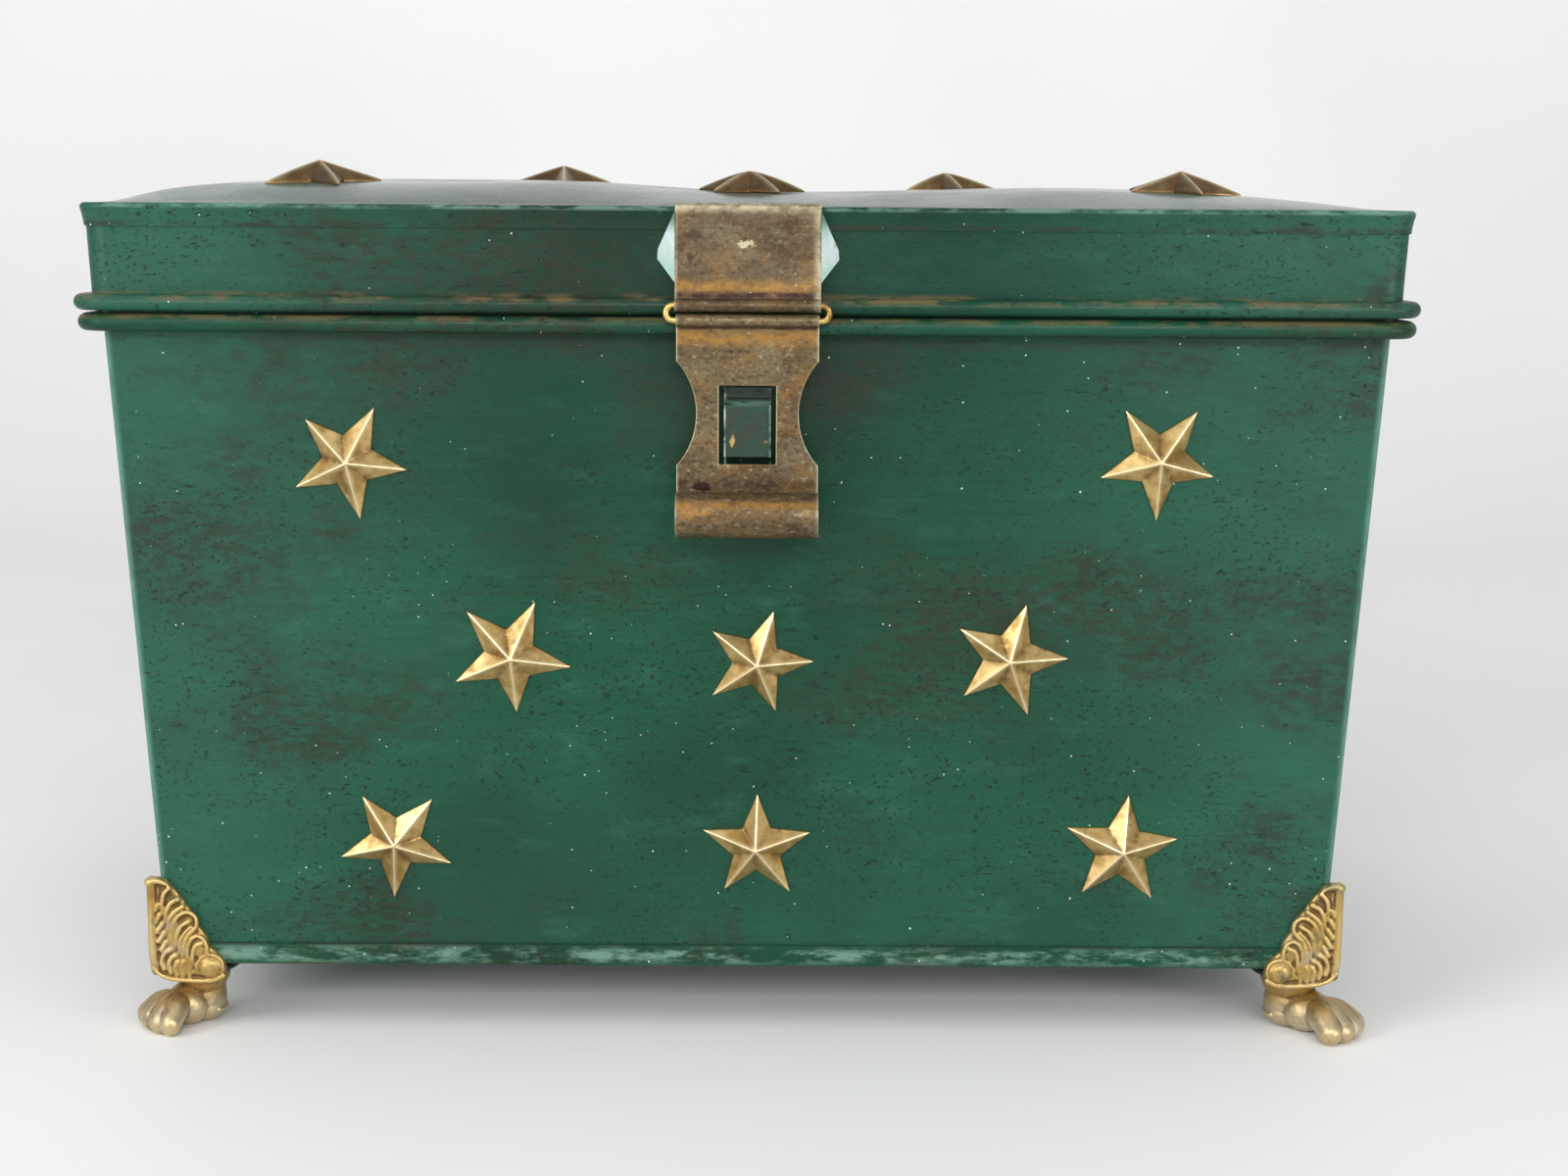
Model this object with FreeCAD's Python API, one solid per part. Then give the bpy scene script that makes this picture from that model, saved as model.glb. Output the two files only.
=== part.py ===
import FreeCAD, Part
import math
import os

V = FreeCAD.Vector
UP = V(0, 0, 1)
ALONG = V(1, 0, 0)
DEEP = V(0, 1, 0)
ORIGIN = V(0, 0, 0)
QUARTER = 90
HALF_CORNER = 45
HALF_TURN = 180

# Sheet, seams and cuts
sheet = 0.8
seam_gap = 0.05
solder_gap = 0.1
overrun = 5.0
mitre_share = 0.45

# Body: outside of the walls where they meet the rim ledge
body_width = 383.0
body_depth = 238.0
wall_height = 198.0
taper_angle = 2.85
corner_radius = 3.0
collar_height = 10.0
hem_height = 6.8
foot_stand = 21.5

# Rim ledge with its wire
ledge_stand = 7.5
ledge_height = 5.2
wire_gap = 0.1

# Lid: skirt, rolled bead, flared lip and pillow-shaped top
lid_gap = 0.9
lid_overhang = 8.5
bead_stand = 5.5
bead_height = 4.8
skirt_height = 19.8
skirt_flare = 1.1
lip_height = 6.8
lip_flare = 1.6
lip_edge = 0.5
lip_round = 1.4
crown_height = 7.0
crown_reach = 40.0
crown_rise_shares = (0.0, 0.55, 0.9, 1.0)
crown_reach_shares = (0.0, 0.35, 0.7, 1.0)
# Crown along the width: the sheet has sunk a little in the middle
crown_along_shares = (
    (-1.0, 0.0),
    (-0.94, 0.58),
    (-0.86, 0.85),
    (-0.74, 0.98),
    (-0.5, 1.0),
    (-0.28, 0.95),
    (-0.1, 0.7),
    (0.06, 0.6),
    (0.26, 0.68),
    (0.5, 0.82),
    (0.65, 0.78),
    (0.8, 0.6),
    (0.91, 0.33),
    (1.0, 0.0),
)

# Stamped stars
star_radius = 18.8
star_inner_share = 0.44
star_rise = 5.5
star_rim = 0.5
star_sheet = 0.6
star_points = 5
# Places as shares of half the width and of the wall's height below the ledge, then the share of the radius
front_star_shares = (
    (-0.625, 0.195, 0.98),
    (0.645, 0.186, 1.0),
    (-0.377, 0.497, 1.03),
    (0.017, 0.504, 0.95),
    (0.419, 0.498, 1.0),
    (-0.568, 0.798, 1.0),
    (0.017, 0.804, 0.95),
    (0.609, 0.803, 1.02),
)
front_star_turns = (27.0, 36.0, 28.0, 17.0, 15.5, 40.0, 0.0, 5.4)
# Places as shares of half the width and of the depth behind the front lip, then the share of the radius
lid_star_shares = (
    (-0.695, 0.19, 1.06),
    (-0.357, 0.706, 0.985),
    (0.0, 0.21, 0.96),
    (0.363, 0.706, 0.985),
    (0.7, 0.2, 1.035),
)
lid_star_turns = (10.0, 30.0, 4.0, 20.0, 25.0)

# Hasp: leaf, wire link, flap and staple
hasp_sheet = 0.9
leaf_width = 42.8
leaf_wrap = 3.0
leaf_bend = 0.8
link_wire = 2.0
running_gap = 0.06
knuckle_drop = 4.4
knuckle_rise = 0.4
link_side_gap = 0.3
flap_width = 42.0
flap_neck = 12.1
flap_notch = 0.8
waist_width = 30.3
waist_drop = 27.9
shoulder_drop = 42.0
flap_drop = 50.0
roll_diameter = 13.6
slot_width = 16.9
slot_height = 23.3
slot_drop = 19.2
flap_hang_angle = 2.3
staple_width = 14.0
staple_height = 18.2
staple_drop = 32.3
staple_rise = 7.6
staple_slope = 1.4
staple_foot = 3.0
staple_hem = 0.4
solder_reach = 6.0
solder_top_drop = 1.5
solder_mid_drop = 14.5
solder_foot_drop = 22.0

# Rear hinges
hinge_width = 38.0
hinge_place = 112.0
hinge_pin = 2.4
hinge_gap = 0.4
hinge_sheet = 0.9
body_leaf_step = 9.0
body_leaf_foot = 16.0

# Cast feet, measured from the body's bottom corner: wings with a ridge between them
wing_height = 28.5
wing_stand = 3.3
wing_reach = 23.5
wing_top_reach = 6.5
knee_drop = 4.9
knee_round = 3.5
ridge_stand = 4.7
ridge_radius = 1.4
cap_radius = 1.8
cap_end_radius = 1.3
cap_lift = 0.3
hem_bar_radius = 1.0
hem_bar_rise = 0.7
hem_bar_overhang = 0.6
# Hooked feathers stepping down the wing, each a rib with a shorter vane inside it
feather_count = 4
feather_inset = 8.7
feather_rise = 17.6
feather_step_in = 2.4
feather_step_down = 4.1
feather_radius = 3.4
feather_rib = 0.85
feather_stem = 8.5
feather_curl = 200.0
vane_radius = 1.55
vane_rib = 0.6
rib_top_share = 0.4
# Scales beside the ridge, and the scroll at the wing's lower corner
scale_count = 5
scale_inset = 4.0
scale_rise = 15.0
scale_step = 3.3
scale_radius = 3.1
scale_stand = 0.9
scroll_inset = 19.6
scroll_rise = -0.2
scroll_radius = 2.7
scroll_rib = 1.1
scroll_boss = 1.7
# Seat, ankle and paw
seat_height = 3.6
seat_reach = 22.0
seat_overlap = 1.5
ankle_inset = 8.8
ankle_top_radius = 9.0
ankle_radius = 7.2
heel_radius = 8.0
heel_height = 7.2
instep_set = 11.0
instep_radius = 6.2
instep_height = 6.4
toe_root = 9.5
toe_root_height = 6.8
toe_root_radius = 4.3
toe_set = 3.0
toe_length = 13.0
toe_radius = 3.6
toe_count = 4
toe_fan = 20.0
toe_joint_share = 0.5
toe_joint_radius = 4.3
toe_joint_lift = 0.9
foot_gap = 0.1
sole_cut = 0.5

# Heights of the stack
pan_top = foot_stand + sheet
ledge_low = foot_stand + wall_height
ledge_top = ledge_low + ledge_height
bead_radius = bead_height / 2
bead_low = ledge_top + lid_gap
bead_middle = bead_low + bead_radius
lip_low = bead_low + bead_height + skirt_height
lip_top = lip_low + lip_height
collar_top = ledge_top + collar_height
taper = math.tan(math.radians(taper_angle))

# Plan: outward offsets count from the wall's outer face at the ledge
half_width = body_width / 2
half_depth = body_depth / 2
bead_offset = lid_overhang - bead_radius
skirt_offset = lid_overhang - bead_stand
skirt_slope = skirt_flare / (lip_low - bead_middle)
lip_offset = skirt_offset + skirt_flare + lip_flare
knuckle_radius = link_wire / 2 + running_gap + hasp_sheet
knuckle_y = -(half_depth + lid_overhang + solder_gap + knuckle_radius)
upper_knuckle_z = bead_middle + knuckle_rise
lower_knuckle_z = upper_knuckle_z - knuckle_drop
roll_radius = roll_diameter / 2
hinge_radius = hinge_pin / 2 + running_gap + hinge_sheet
hinge_y = half_depth + lid_overhang + solder_gap + hinge_radius
hinge_z = ledge_top + lid_gap / 2

# The origin is under the middle of the whole part, hasp and hinges included
hang = math.radians(flap_hang_angle)
roll_drop = flap_drop + roll_radius
roll_back = knuckle_radius - roll_radius
front_reach = -(knuckle_y + roll_back * math.cos(hang) + roll_drop * math.sin(hang)) + roll_radius
back_reach = hinge_y + hinge_radius
plan_shift = V(0, (front_reach - back_reach) / 2, 0)


def polygon(points):
    return Part.Face(Part.makePolygon(points + [points[0]]))


def disc(centre, normal, radius):
    return Part.Face(Part.Wire(Part.makeCircle(radius, centre, normal)))


def tube(centre, normal, outer, inner, length):
    start = centre - normal * (length / 2)
    bore = Part.makeCylinder(inner, length, start, normal)
    return Part.makeCylinder(outer, length, start, normal).cut(bore)


def rounded_rectangle(half_x, half_y, radius, height):
    flat_x = half_x - radius
    flat_y = half_y - radius
    edges = []
    for turn, run in ((0, flat_y), (1, flat_x), (2, flat_y), (3, flat_x)):
        angle = turn * QUARTER
        spin = FreeCAD.Rotation(UP, angle)
        reach = flat_x if turn % 2 == 0 else flat_y
        low = spin.multVec(V(reach + radius, -run, 0)) + UP * height
        high = spin.multVec(V(reach + radius, run, 0)) + UP * height
        centre = spin.multVec(V(reach, run, 0)) + UP * height
        bow = FreeCAD.Rotation(UP, angle + HALF_CORNER).multVec(ALONG * radius)
        end = centre + FreeCAD.Rotation(UP, angle + QUARTER).multVec(ALONG * radius)
        edges.append(Part.makeLine(low, high))
        edges.append(Part.Arc(high, centre + bow, end).toShape())
    return Part.Wire(edges)


def wall_inset(height):
    return (ledge_low - height) * taper


def body_block(offset, low, high):
    sections = []
    for height in (low, high):
        half_x = half_width - wall_inset(height) + offset
        half_y = half_depth - wall_inset(height) + offset
        sections.append(rounded_rectangle(half_x, half_y, corner_radius + offset, height))
    return Part.makeLoft(sections, True, True)


def side_wedge(half_x, half_y, low, high):
    # Mitred slice of the plan that faces along +X
    depth = min(half_width, half_depth) * mitre_share
    points = []
    for out, along in ((depth, -1), (depth, 1), (-depth, 1), (-depth, -1)):
        points.append(V(half_x + out, along * (half_y + out), low))
    return polygon(points).extrude(UP * (high - low))


SIDES = {
    "right": (0, half_width, half_depth),
    "back": (QUARTER, half_depth, half_width),
    "left": (HALF_TURN, half_width, half_depth),
    "front": (HALF_TURN + QUARTER, half_depth, half_width),
}


def side_slice(shape, side, low, high):
    angle, half_out, half_along = SIDES[side]
    wedge = side_wedge(half_out, half_along, low, high)
    wedge.rotate(ORIGIN, UP, angle)
    return shape.common(wedge)


def side_strip(profile, side):
    # A profile in the XZ plane, X from the corner's centre, run along one side and half round both corners
    angle, half_out, half_along = SIDES[side]
    run = half_along - corner_radius
    straight = profile.translated(V(0, -run, 0)).extrude(DEEP * (2 * run))
    pieces = []
    for end in (-1, 1):
        corner = profile.revolve(ORIGIN, UP, end * HALF_CORNER)
        pieces.append(corner.translated(DEEP * (end * run)))
    strip = straight.fuse(pieces).removeSplitter()
    strip.translate(V(half_out - corner_radius, 0, 0))
    strip.rotate(ORIGIN, UP, angle)
    return strip


def out(offset, height):
    return V(corner_radius + offset, 0, height)


def ring(profile):
    strips = [side_strip(profile, side) for side in SIDES]
    return strips[0].fuse(strips[1:]).removeSplitter()


parts = {}

# Walls and collar
wall_core = body_block(-sheet, pan_top - overrun, collar_top + overrun)
wall_shell = body_block(0, pan_top, collar_top).cut(wall_core)
for side in SIDES:
    parts[side + "_panel"] = side_slice(wall_shell, side, pan_top - overrun, collar_top + overrun)

# Bottom sheet, and the folded hem that holds it round the foot of the walls
hem_top = foot_stand + hem_height
parts["bottom_sheet"] = body_block(0, foot_stand, pan_top)
hem_hollow = body_block(seam_gap, foot_stand - overrun, hem_top + overrun)
parts["bottom_hem"] = body_block(seam_gap + sheet, foot_stand, hem_top).cut(hem_hollow)


def nose_outline(back, nose, middle, radius):
    # Flat band from back to nose that ends in a half round
    low = out(nose, middle - radius)
    high = out(nose, middle + radius)
    bow = Part.Arc(low, out(nose + radius, middle), high).toShape()
    rest = Part.makePolygon([high, out(back, middle + radius), out(back, middle - radius), low])
    return Part.Face(Part.Wire([bow] + rest.Edges))


# Folded rim ledge: a channel with a round nose, closed by the wall
ledge_radius = ledge_height / 2
ledge_nose = ledge_stand - ledge_radius
ledge_foot = ledge_height * taper + seam_gap
ledge_middle = ledge_low + ledge_radius
ledge_band = nose_outline(ledge_foot, ledge_nose, ledge_middle, ledge_radius)
ledge_hollow = nose_outline(ledge_foot, ledge_nose, ledge_middle, ledge_radius - sheet)
ledge_profile = ledge_band.cut(ledge_hollow).Faces[0]
for side in SIDES:
    parts["rim_ledge_" + side] = side_strip(ledge_profile, side)
parts["body_rim_wire"] = ring(disc(out(ledge_nose, ledge_middle), DEEP, ledge_radius - sheet - wire_gap))

# Lid skirt: a leaning strip whose foot is folded out into a bead round a wire
skirt_back = skirt_offset - sheet
bead_band = nose_outline(skirt_back, bead_offset, bead_middle, bead_radius)
bead_hollow = nose_outline(skirt_offset, bead_offset, bead_middle, bead_radius - sheet)
bead_profile = bead_band.cut(bead_hollow).Faces[0]
strip_top = lip_top - sheet
top_lean = skirt_slope * (strip_top - bead_middle)
skirt_profile = polygon([
    out(skirt_back, bead_middle),
    out(skirt_offset, bead_middle),
    out(skirt_offset + top_lean, strip_top),
    out(skirt_offset + top_lean - sheet, strip_top),
])
for side in SIDES:
    skirt = side_strip(skirt_profile, side).fuse(side_strip(bead_profile, side))
    parts["lid_skirt_" + side] = skirt.removeSplitter()
parts["lid_rim_wire"] = ring(disc(out(bead_offset, bead_middle), DEEP, bead_radius - sheet - wire_gap))

# Lid lip: a strip over the top of the skirt, coved below and rounded above
lip_foot = skirt_offset + skirt_flare + seam_gap
lip_head = skirt_offset + top_lean + seam_gap
lip_belly_share = 0.35
cove_middle = out(lip_foot + lip_edge + lip_flare * lip_belly_share, lip_low + lip_height / 2)
lip_front = lip_offset + seam_gap
cove_foot = out(lip_foot + lip_edge, lip_low)
cove = Part.Arc(cove_foot, cove_middle, out(lip_front, lip_top - lip_round)).toShape()
bow = lip_round * (1 - math.cos(math.radians(HALF_CORNER)))
brow = Part.Arc(
    out(lip_front, lip_top - lip_round),
    out(lip_front - bow, lip_top - bow),
    out(lip_front - lip_round, lip_top),
).toShape()
lip_back = Part.makePolygon([
    out(lip_front - lip_round, lip_top),
    out(0, lip_top),
    out(0, strip_top),
    out(lip_head, strip_top),
    out(lip_foot, lip_low),
    out(lip_foot + lip_edge, lip_low),
])
lip_profile = Part.Face(Part.Wire([cove, brow] + lip_back.Edges))


# Lid top: a low pillow, its crown set by sections along the width
def pillow_section(place, crown):
    along = half_width * place
    front = []
    back = []
    for reach_share, rise_share in zip(crown_reach_shares, crown_rise_shares):
        height = lip_top + crown_height * crown * rise_share
        front.append(V(along, -half_depth + crown_reach * reach_share, height))
        back.insert(0, V(along, half_depth - crown_reach * reach_share, height))
    crest = Part.BSplineCurve()
    crest.interpolate(front + back)
    low = [V(along, half_depth, strip_top), V(along, -half_depth, strip_top)]
    rest = Part.makePolygon([back[-1]] + low + [front[0]])
    return Part.Wire([crest.toShape()] + rest.Edges)


pillow = Part.makeLoft([pillow_section(*place) for place in crown_along_shares], True, False)
lid_sheet = pillow.cut(pillow.translated(UP * -sheet))
parts["lid_top"] = lid_sheet
for side in SIDES:
    parts["lid_lip_" + side] = side_strip(lip_profile, side)


# Stamped star: ten facets that rise to one point, hollow behind
def star_solid(radius, rise, rim):
    rim_points = []
    for step in range(2 * star_points):
        reach = radius if step % 2 == 0 else radius * star_inner_share
        angle = math.radians(QUARTER + step * HALF_TURN / star_points)
        rim_points.append(V(reach * math.cos(angle), reach * math.sin(angle), 0))
    peak = UP * (rim + rise)
    faces = [polygon(rim_points)]
    for first, second in zip(rim_points, rim_points[1:] + rim_points[:1]):
        faces.append(polygon([first, second, second + UP * rim, first + UP * rim]))
        faces.append(polygon([first + UP * rim, second + UP * rim, peak]))
    return Part.makeSolid(Part.makeShell(faces))


def stamped_star(radius):
    hollow = star_solid(radius - 2 * star_sheet, star_rise - star_sheet, star_rim)
    return star_solid(radius, star_rise, star_rim).cut(hollow.translated(UP * -star_rim))


for number, (along_share, below_share, size_share) in enumerate(front_star_shares, 1):
    placed = stamped_star(star_radius * size_share)
    turn = front_star_turns[number - 1]
    placed.rotate(ORIGIN, UP, -turn)
    placed.rotate(ORIGIN, ALONG, QUARTER)
    placed.rotate(ORIGIN, ALONG, taper_angle)
    height = ledge_low - wall_height * below_share
    placed.translate(V(half_width * along_share, -(half_depth - wall_inset(height)), height))
    parts["front_star_%d" % number] = placed

for number, (along_share, back_share, size_share) in enumerate(lid_star_shares, 1):
    placed = stamped_star(star_radius * size_share)
    placed.rotate(ORIGIN, UP, -lid_star_turns[number - 1])
    place = V(half_width * along_share, -(half_depth + lip_offset) + body_depth * back_share, lip_low)
    footprint = Part.makeCylinder(star_radius * size_share, lip_height + crown_height + overrun, place, UP)
    seat = lid_sheet.common(footprint).optimalBoundingBox().ZMax
    placed.translate(V(place.x, place.y, seat))
    parts["lid_star_%d" % number] = placed

# Hasp leaf: bent over the lip, bridging to the bead, with the upper knuckle at its foot
lip_y = -(half_depth + lip_front + solder_gap)
bridge_y = -(half_depth + lid_overhang + solder_gap)
leaf_top = lip_top + solder_gap
start = V(-leaf_width / 2, 0, 0)
leaf_plate = polygon([
    start + V(0, lip_y + leaf_wrap, leaf_top),
    start + V(0, lip_y, leaf_top),
    start + V(0, bridge_y, upper_knuckle_z),
    start + V(0, bridge_y - hasp_sheet, upper_knuckle_z),
    start + V(0, lip_y - hasp_sheet, leaf_top),
    start + V(0, lip_y - hasp_sheet + leaf_bend, leaf_top + hasp_sheet),
    start + V(0, lip_y + leaf_wrap, leaf_top + hasp_sheet),
]).extrude(ALONG * leaf_width)
bore = knuckle_radius - hasp_sheet
upper_axis = V(0, knuckle_y, upper_knuckle_z)
leaf_bore = Part.makeCylinder(bore, leaf_width, upper_axis - ALONG * (leaf_width / 2), ALONG)
upper_knuckle = tube(upper_axis, ALONG, knuckle_radius, bore, leaf_width)
parts["hasp_leaf"] = leaf_plate.fuse(upper_knuckle).cut(leaf_bore).removeSplitter()

# Solder run in at both sides of the leaf, down to the skirt
skirt_y = -(half_depth + skirt_offset)
for side, sign in (("left", -1), ("right", 1)):
    edge = sign * (leaf_width / 2 + seam_gap)
    tip = edge + sign * solder_reach
    blob = polygon([
        V(edge, skirt_y, lip_top - solder_top_drop),
        V(tip, skirt_y, lip_top - solder_mid_drop),
        V(edge, skirt_y, lip_top - solder_foot_drop),
    ]).extrude(V(0, bridge_y - skirt_y, 0))
    flank = polygon([
        V(edge, bridge_y, lip_top),
        V(tip, skirt_y, lip_top),
        V(edge, skirt_y, lip_top),
    ]).extrude(UP * -solder_foot_drop)
    seat = parts["lid_lip_front"].fuse(parts["lid_skirt_front"])
    parts["hasp_solder_" + side] = max(blob.common(flank).cut(seat).Solids, key=lambda solid: solid.Volume)

# Wire link: two bars joined by half rings
bar_reach = max(leaf_width, flap_width) / 2 + link_side_gap
link_middle = V(0, knuckle_y, (upper_knuckle_z + lower_knuckle_z) / 2)
link_pieces = []
for end in (-1, 1):
    axis = link_middle + UP * (end * knuckle_drop / 2)
    link_pieces.append(Part.makeCylinder(link_wire / 2, 2 * bar_reach, axis - ALONG * bar_reach, ALONG))
    corner = link_middle + ALONG * (end * bar_reach)
    bend = disc(corner + UP * (knuckle_drop / 2), ALONG, link_wire / 2)
    link_pieces.append(bend.revolve(corner, DEEP * end, HALF_TURN))
parts["hasp_link"] = link_pieces[0].fuse(link_pieces[1:]).removeSplitter()


# Hasp flap: waisted plate with a slot, the lower knuckle above and a roll below
def flap_side(sign):
    wide = sign * flap_width / 2
    notched = wide - sign * flap_notch
    neck = V(wide, 0, -flap_neck)
    first = V(notched, 0, -flap_neck - flap_notch)
    waist = V(sign * waist_width / 2, 0, -waist_drop)
    last = V(notched, 0, -shoulder_drop)
    shoulder = V(wide, 0, -shoulder_drop - flap_notch)
    edges = [
        Part.makeLine(V(wide, 0, 0), neck),
        Part.makeLine(neck, first),
        Part.Arc(first, waist, last).toShape(),
        Part.makeLine(last, shoulder),
        Part.makeLine(shoulder, V(wide, 0, -roll_drop)),
    ]
    return edges


flap_ends = [
    Part.makeLine(V(-flap_width / 2, 0, 0), V(flap_width / 2, 0, 0)),
    Part.makeLine(V(-flap_width / 2, 0, -roll_drop), V(flap_width / 2, 0, -roll_drop)),
]
flap_outline = Part.Wire(Part.__sortEdges__(flap_side(-1) + flap_side(1) + flap_ends))
flap_plate = Part.Face(flap_outline).extrude(DEEP * hasp_sheet)
flap_plate.translate(DEEP * (knuckle_radius - hasp_sheet))
slot_low = V(-slot_width / 2, -roll_diameter, -slot_drop - slot_height)
slot = Part.makeBox(slot_width, 2 * roll_diameter, slot_height, slot_low)
roll = tube(V(0, roll_back, -roll_drop), ALONG, roll_radius, roll_radius - hasp_sheet, flap_width)
lower_knuckle = tube(ORIGIN, ALONG, knuckle_radius, bore, flap_width)
flap_bore = Part.makeCylinder(bore, flap_width, ALONG * (-flap_width / 2), ALONG)
flap = flap_plate.cut(slot).fuse([roll, lower_knuckle]).cut(flap_bore).removeSplitter()
flap.rotate(ORIGIN, ALONG, flap_hang_angle)
flap.translate(V(0, knuckle_y, lower_knuckle_z))
parts["hasp_flap"] = flap

# Staple: a strip bridge on the front wall with hemmed sides, behind the flap's slot
staple_half = staple_height / 2
inner_half = staple_half - sheet
staple_points = [
    (0, staple_half + staple_foot),
    (sheet, staple_half + staple_foot),
    (sheet, staple_half),
    (staple_rise, staple_half - staple_slope),
    (staple_rise, staple_slope - staple_half),
    (sheet, -staple_half),
    (sheet, -staple_half - staple_foot),
    (0, -staple_half - staple_foot),
    (0, -inner_half),
    (staple_rise - sheet, staple_slope - inner_half),
    (staple_rise - sheet, inner_half - staple_slope),
    (0, inner_half),
]
staple_face = polygon([V(-staple_width / 2, -rise, height) for rise, height in staple_points])
staple = staple_face.extrude(ALONG * staple_width)
hem_length = staple_height - 2 * staple_slope
for end in (-1, 1):
    middle = V(end * (staple_width / 2 - staple_hem), -staple_rise, -hem_length / 2)
    staple = staple.fuse(Part.makeCylinder(staple_hem, hem_length, middle, UP))
staple = staple.removeSplitter()
staple.rotate(ORIGIN, ALONG, taper_angle)
staple_z = lower_knuckle_z - staple_drop
staple.translate(V(0, -(half_depth - wall_inset(staple_z)), staple_z))
parts["hasp_staple"] = staple

# Rear hinges: lid leaf with the middle knuckle, body leaf with the outer two, and a pin
third = (hinge_width - 2 * hinge_gap) / 3
hinge_bore = hinge_radius - hinge_sheet
back_y = half_depth + lid_overhang + solder_gap
back_lip_y = half_depth + lip_front + solder_gap
step_z = ledge_low - body_leaf_step
foot_z = step_z - body_leaf_foot


def wall_back(height):
    return half_depth - wall_inset(height) + solder_gap


for name, place in (("left", -hinge_place), ("right", hinge_place)):
    middle = V(place, hinge_y, hinge_z)
    edge = V(place - hinge_width / 2, 0, 0)
    bore_start = middle - ALONG * (hinge_width / 2)
    full_bore = Part.makeCylinder(hinge_bore, hinge_width, bore_start, ALONG)
    lid_plate = polygon([
        edge + V(0, back_lip_y - leaf_wrap, leaf_top),
        edge + V(0, back_lip_y, leaf_top),
        edge + V(0, back_y, bead_middle),
        edge + V(0, back_y, hinge_z),
        edge + V(0, back_y + hinge_sheet, hinge_z),
        edge + V(0, back_y + hinge_sheet, bead_middle),
        edge + V(0, back_lip_y + hinge_sheet, leaf_top),
        edge + V(0, back_lip_y + hinge_sheet - leaf_bend, leaf_top + hinge_sheet),
        edge + V(0, back_lip_y - leaf_wrap, leaf_top + hinge_sheet),
    ]).extrude(ALONG * hinge_width)
    body_plate = polygon([
        edge + V(0, back_y, hinge_z),
        edge + V(0, back_y, ledge_low),
        edge + V(0, wall_back(step_z), step_z),
        edge + V(0, wall_back(foot_z), foot_z),
        edge + V(0, wall_back(foot_z) + hinge_sheet, foot_z),
        edge + V(0, wall_back(step_z) + hinge_sheet, step_z),
        edge + V(0, back_y + hinge_sheet, ledge_low),
        edge + V(0, back_y + hinge_sheet, hinge_z),
    ]).extrude(ALONG * hinge_width)
    room = hinge_radius + hinge_gap
    for sign in (-1, 1):
        outer = V(sign * (third + hinge_gap), 0, 0)
        outer_middle = middle + outer
        relief_start = outer_middle - ALONG * ((third + hinge_gap) / 2)
        relief = Part.makeCylinder(room, third + hinge_gap, relief_start, ALONG)
        lid_plate = lid_plate.cut(relief)
        body_plate = body_plate.fuse(tube(outer_middle, ALONG, hinge_radius, hinge_bore, third))
    relief = Part.makeCylinder(room, third + 2 * hinge_gap, middle - ALONG * (third / 2 + hinge_gap), ALONG)
    body_plate = body_plate.cut(relief)
    lid_plate = lid_plate.fuse(tube(middle, ALONG, hinge_radius, hinge_bore, third))
    parts[name + "_hinge_lid_leaf"] = lid_plate.cut(full_bore).removeSplitter()
    parts[name + "_hinge_body_leaf"] = body_plate.cut(full_bore).removeSplitter()
    parts[name + "_hinge_pin"] = Part.makeCylinder(hinge_pin / 2, hinge_width, bore_start, ALONG)

# Cast foot, built for the corner at +X and +Y with the body's bottom corner at its origin
wall_foot_x = half_width - wall_inset(foot_stand)
wall_foot_y = half_depth - wall_inset(foot_stand)
corner = V(wall_foot_x, wall_foot_y, foot_stand)
diagonal = V(1, 1, 0).normalize()


def capsule(start, end, start_radius, end_radius):
    # Two balls joined by the cone that touches both, turned in one piece
    run = end - start
    lean = math.asin((start_radius - end_radius) / run.Length)
    points = []
    for place, radius in ((0, start_radius), (run.Length, end_radius)):
        points.append(V(place + radius * math.sin(lean), radius * math.cos(lean), 0))
    start_bow = V(-start_radius * math.sin(math.radians(HALF_CORNER)), 0, 0)
    start_bow.y = -start_bow.x
    end_bow = V(run.Length, 0, 0)
    half_lean = (math.pi / 2 - lean) / 2
    end_bow.x += end_radius * math.cos(half_lean)
    end_bow.y = end_radius * math.sin(half_lean)
    first_end = V(-start_radius, 0, 0)
    last_end = V(run.Length + end_radius, 0, 0)
    outline = Part.Wire([
        Part.Arc(first_end, start_bow, points[0]).toShape(),
        Part.makeLine(points[0], points[1]),
        Part.Arc(points[1], end_bow, last_end).toShape(),
        Part.makeLine(last_end, first_end),
    ])
    solid = Part.Face(outline).revolve(ORIGIN, ALONG, 2 * HALF_TURN)
    solid.Placement = FreeCAD.Placement(start, FreeCAD.Rotation(ALONG, run))
    return solid


def joined(pieces):
    block = pieces[0]
    for piece in pieces[1:]:
        block = block.fuse(piece)
    return block


def on_wing(inset, rise):
    # A point of the wing's outer face, counted inward from the ridge and up from the body's bottom
    return V(ridge_stand - inset, wing_stand, rise)


def rib_section(centre, radius, rib):
    # Bevelled section of a rib that stands on the wing's face, beside the centre it turns about
    start = centre + ALONG * radius
    points = []
    for across, rise in ((rib, -rib), (rib * rib_top_share, rib), (-rib * rib_top_share, rib), (-rib, -rib)):
        points.append(start + ALONG * across + DEEP * rise)
    return polygon(points)


def stud(place, radius, stand):
    # A low bevelled knob on the wing's face
    return Part.makeCone(radius + stand, radius * rib_top_share, 2 * stand, place - DEEP * stand, DEEP)


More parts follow.
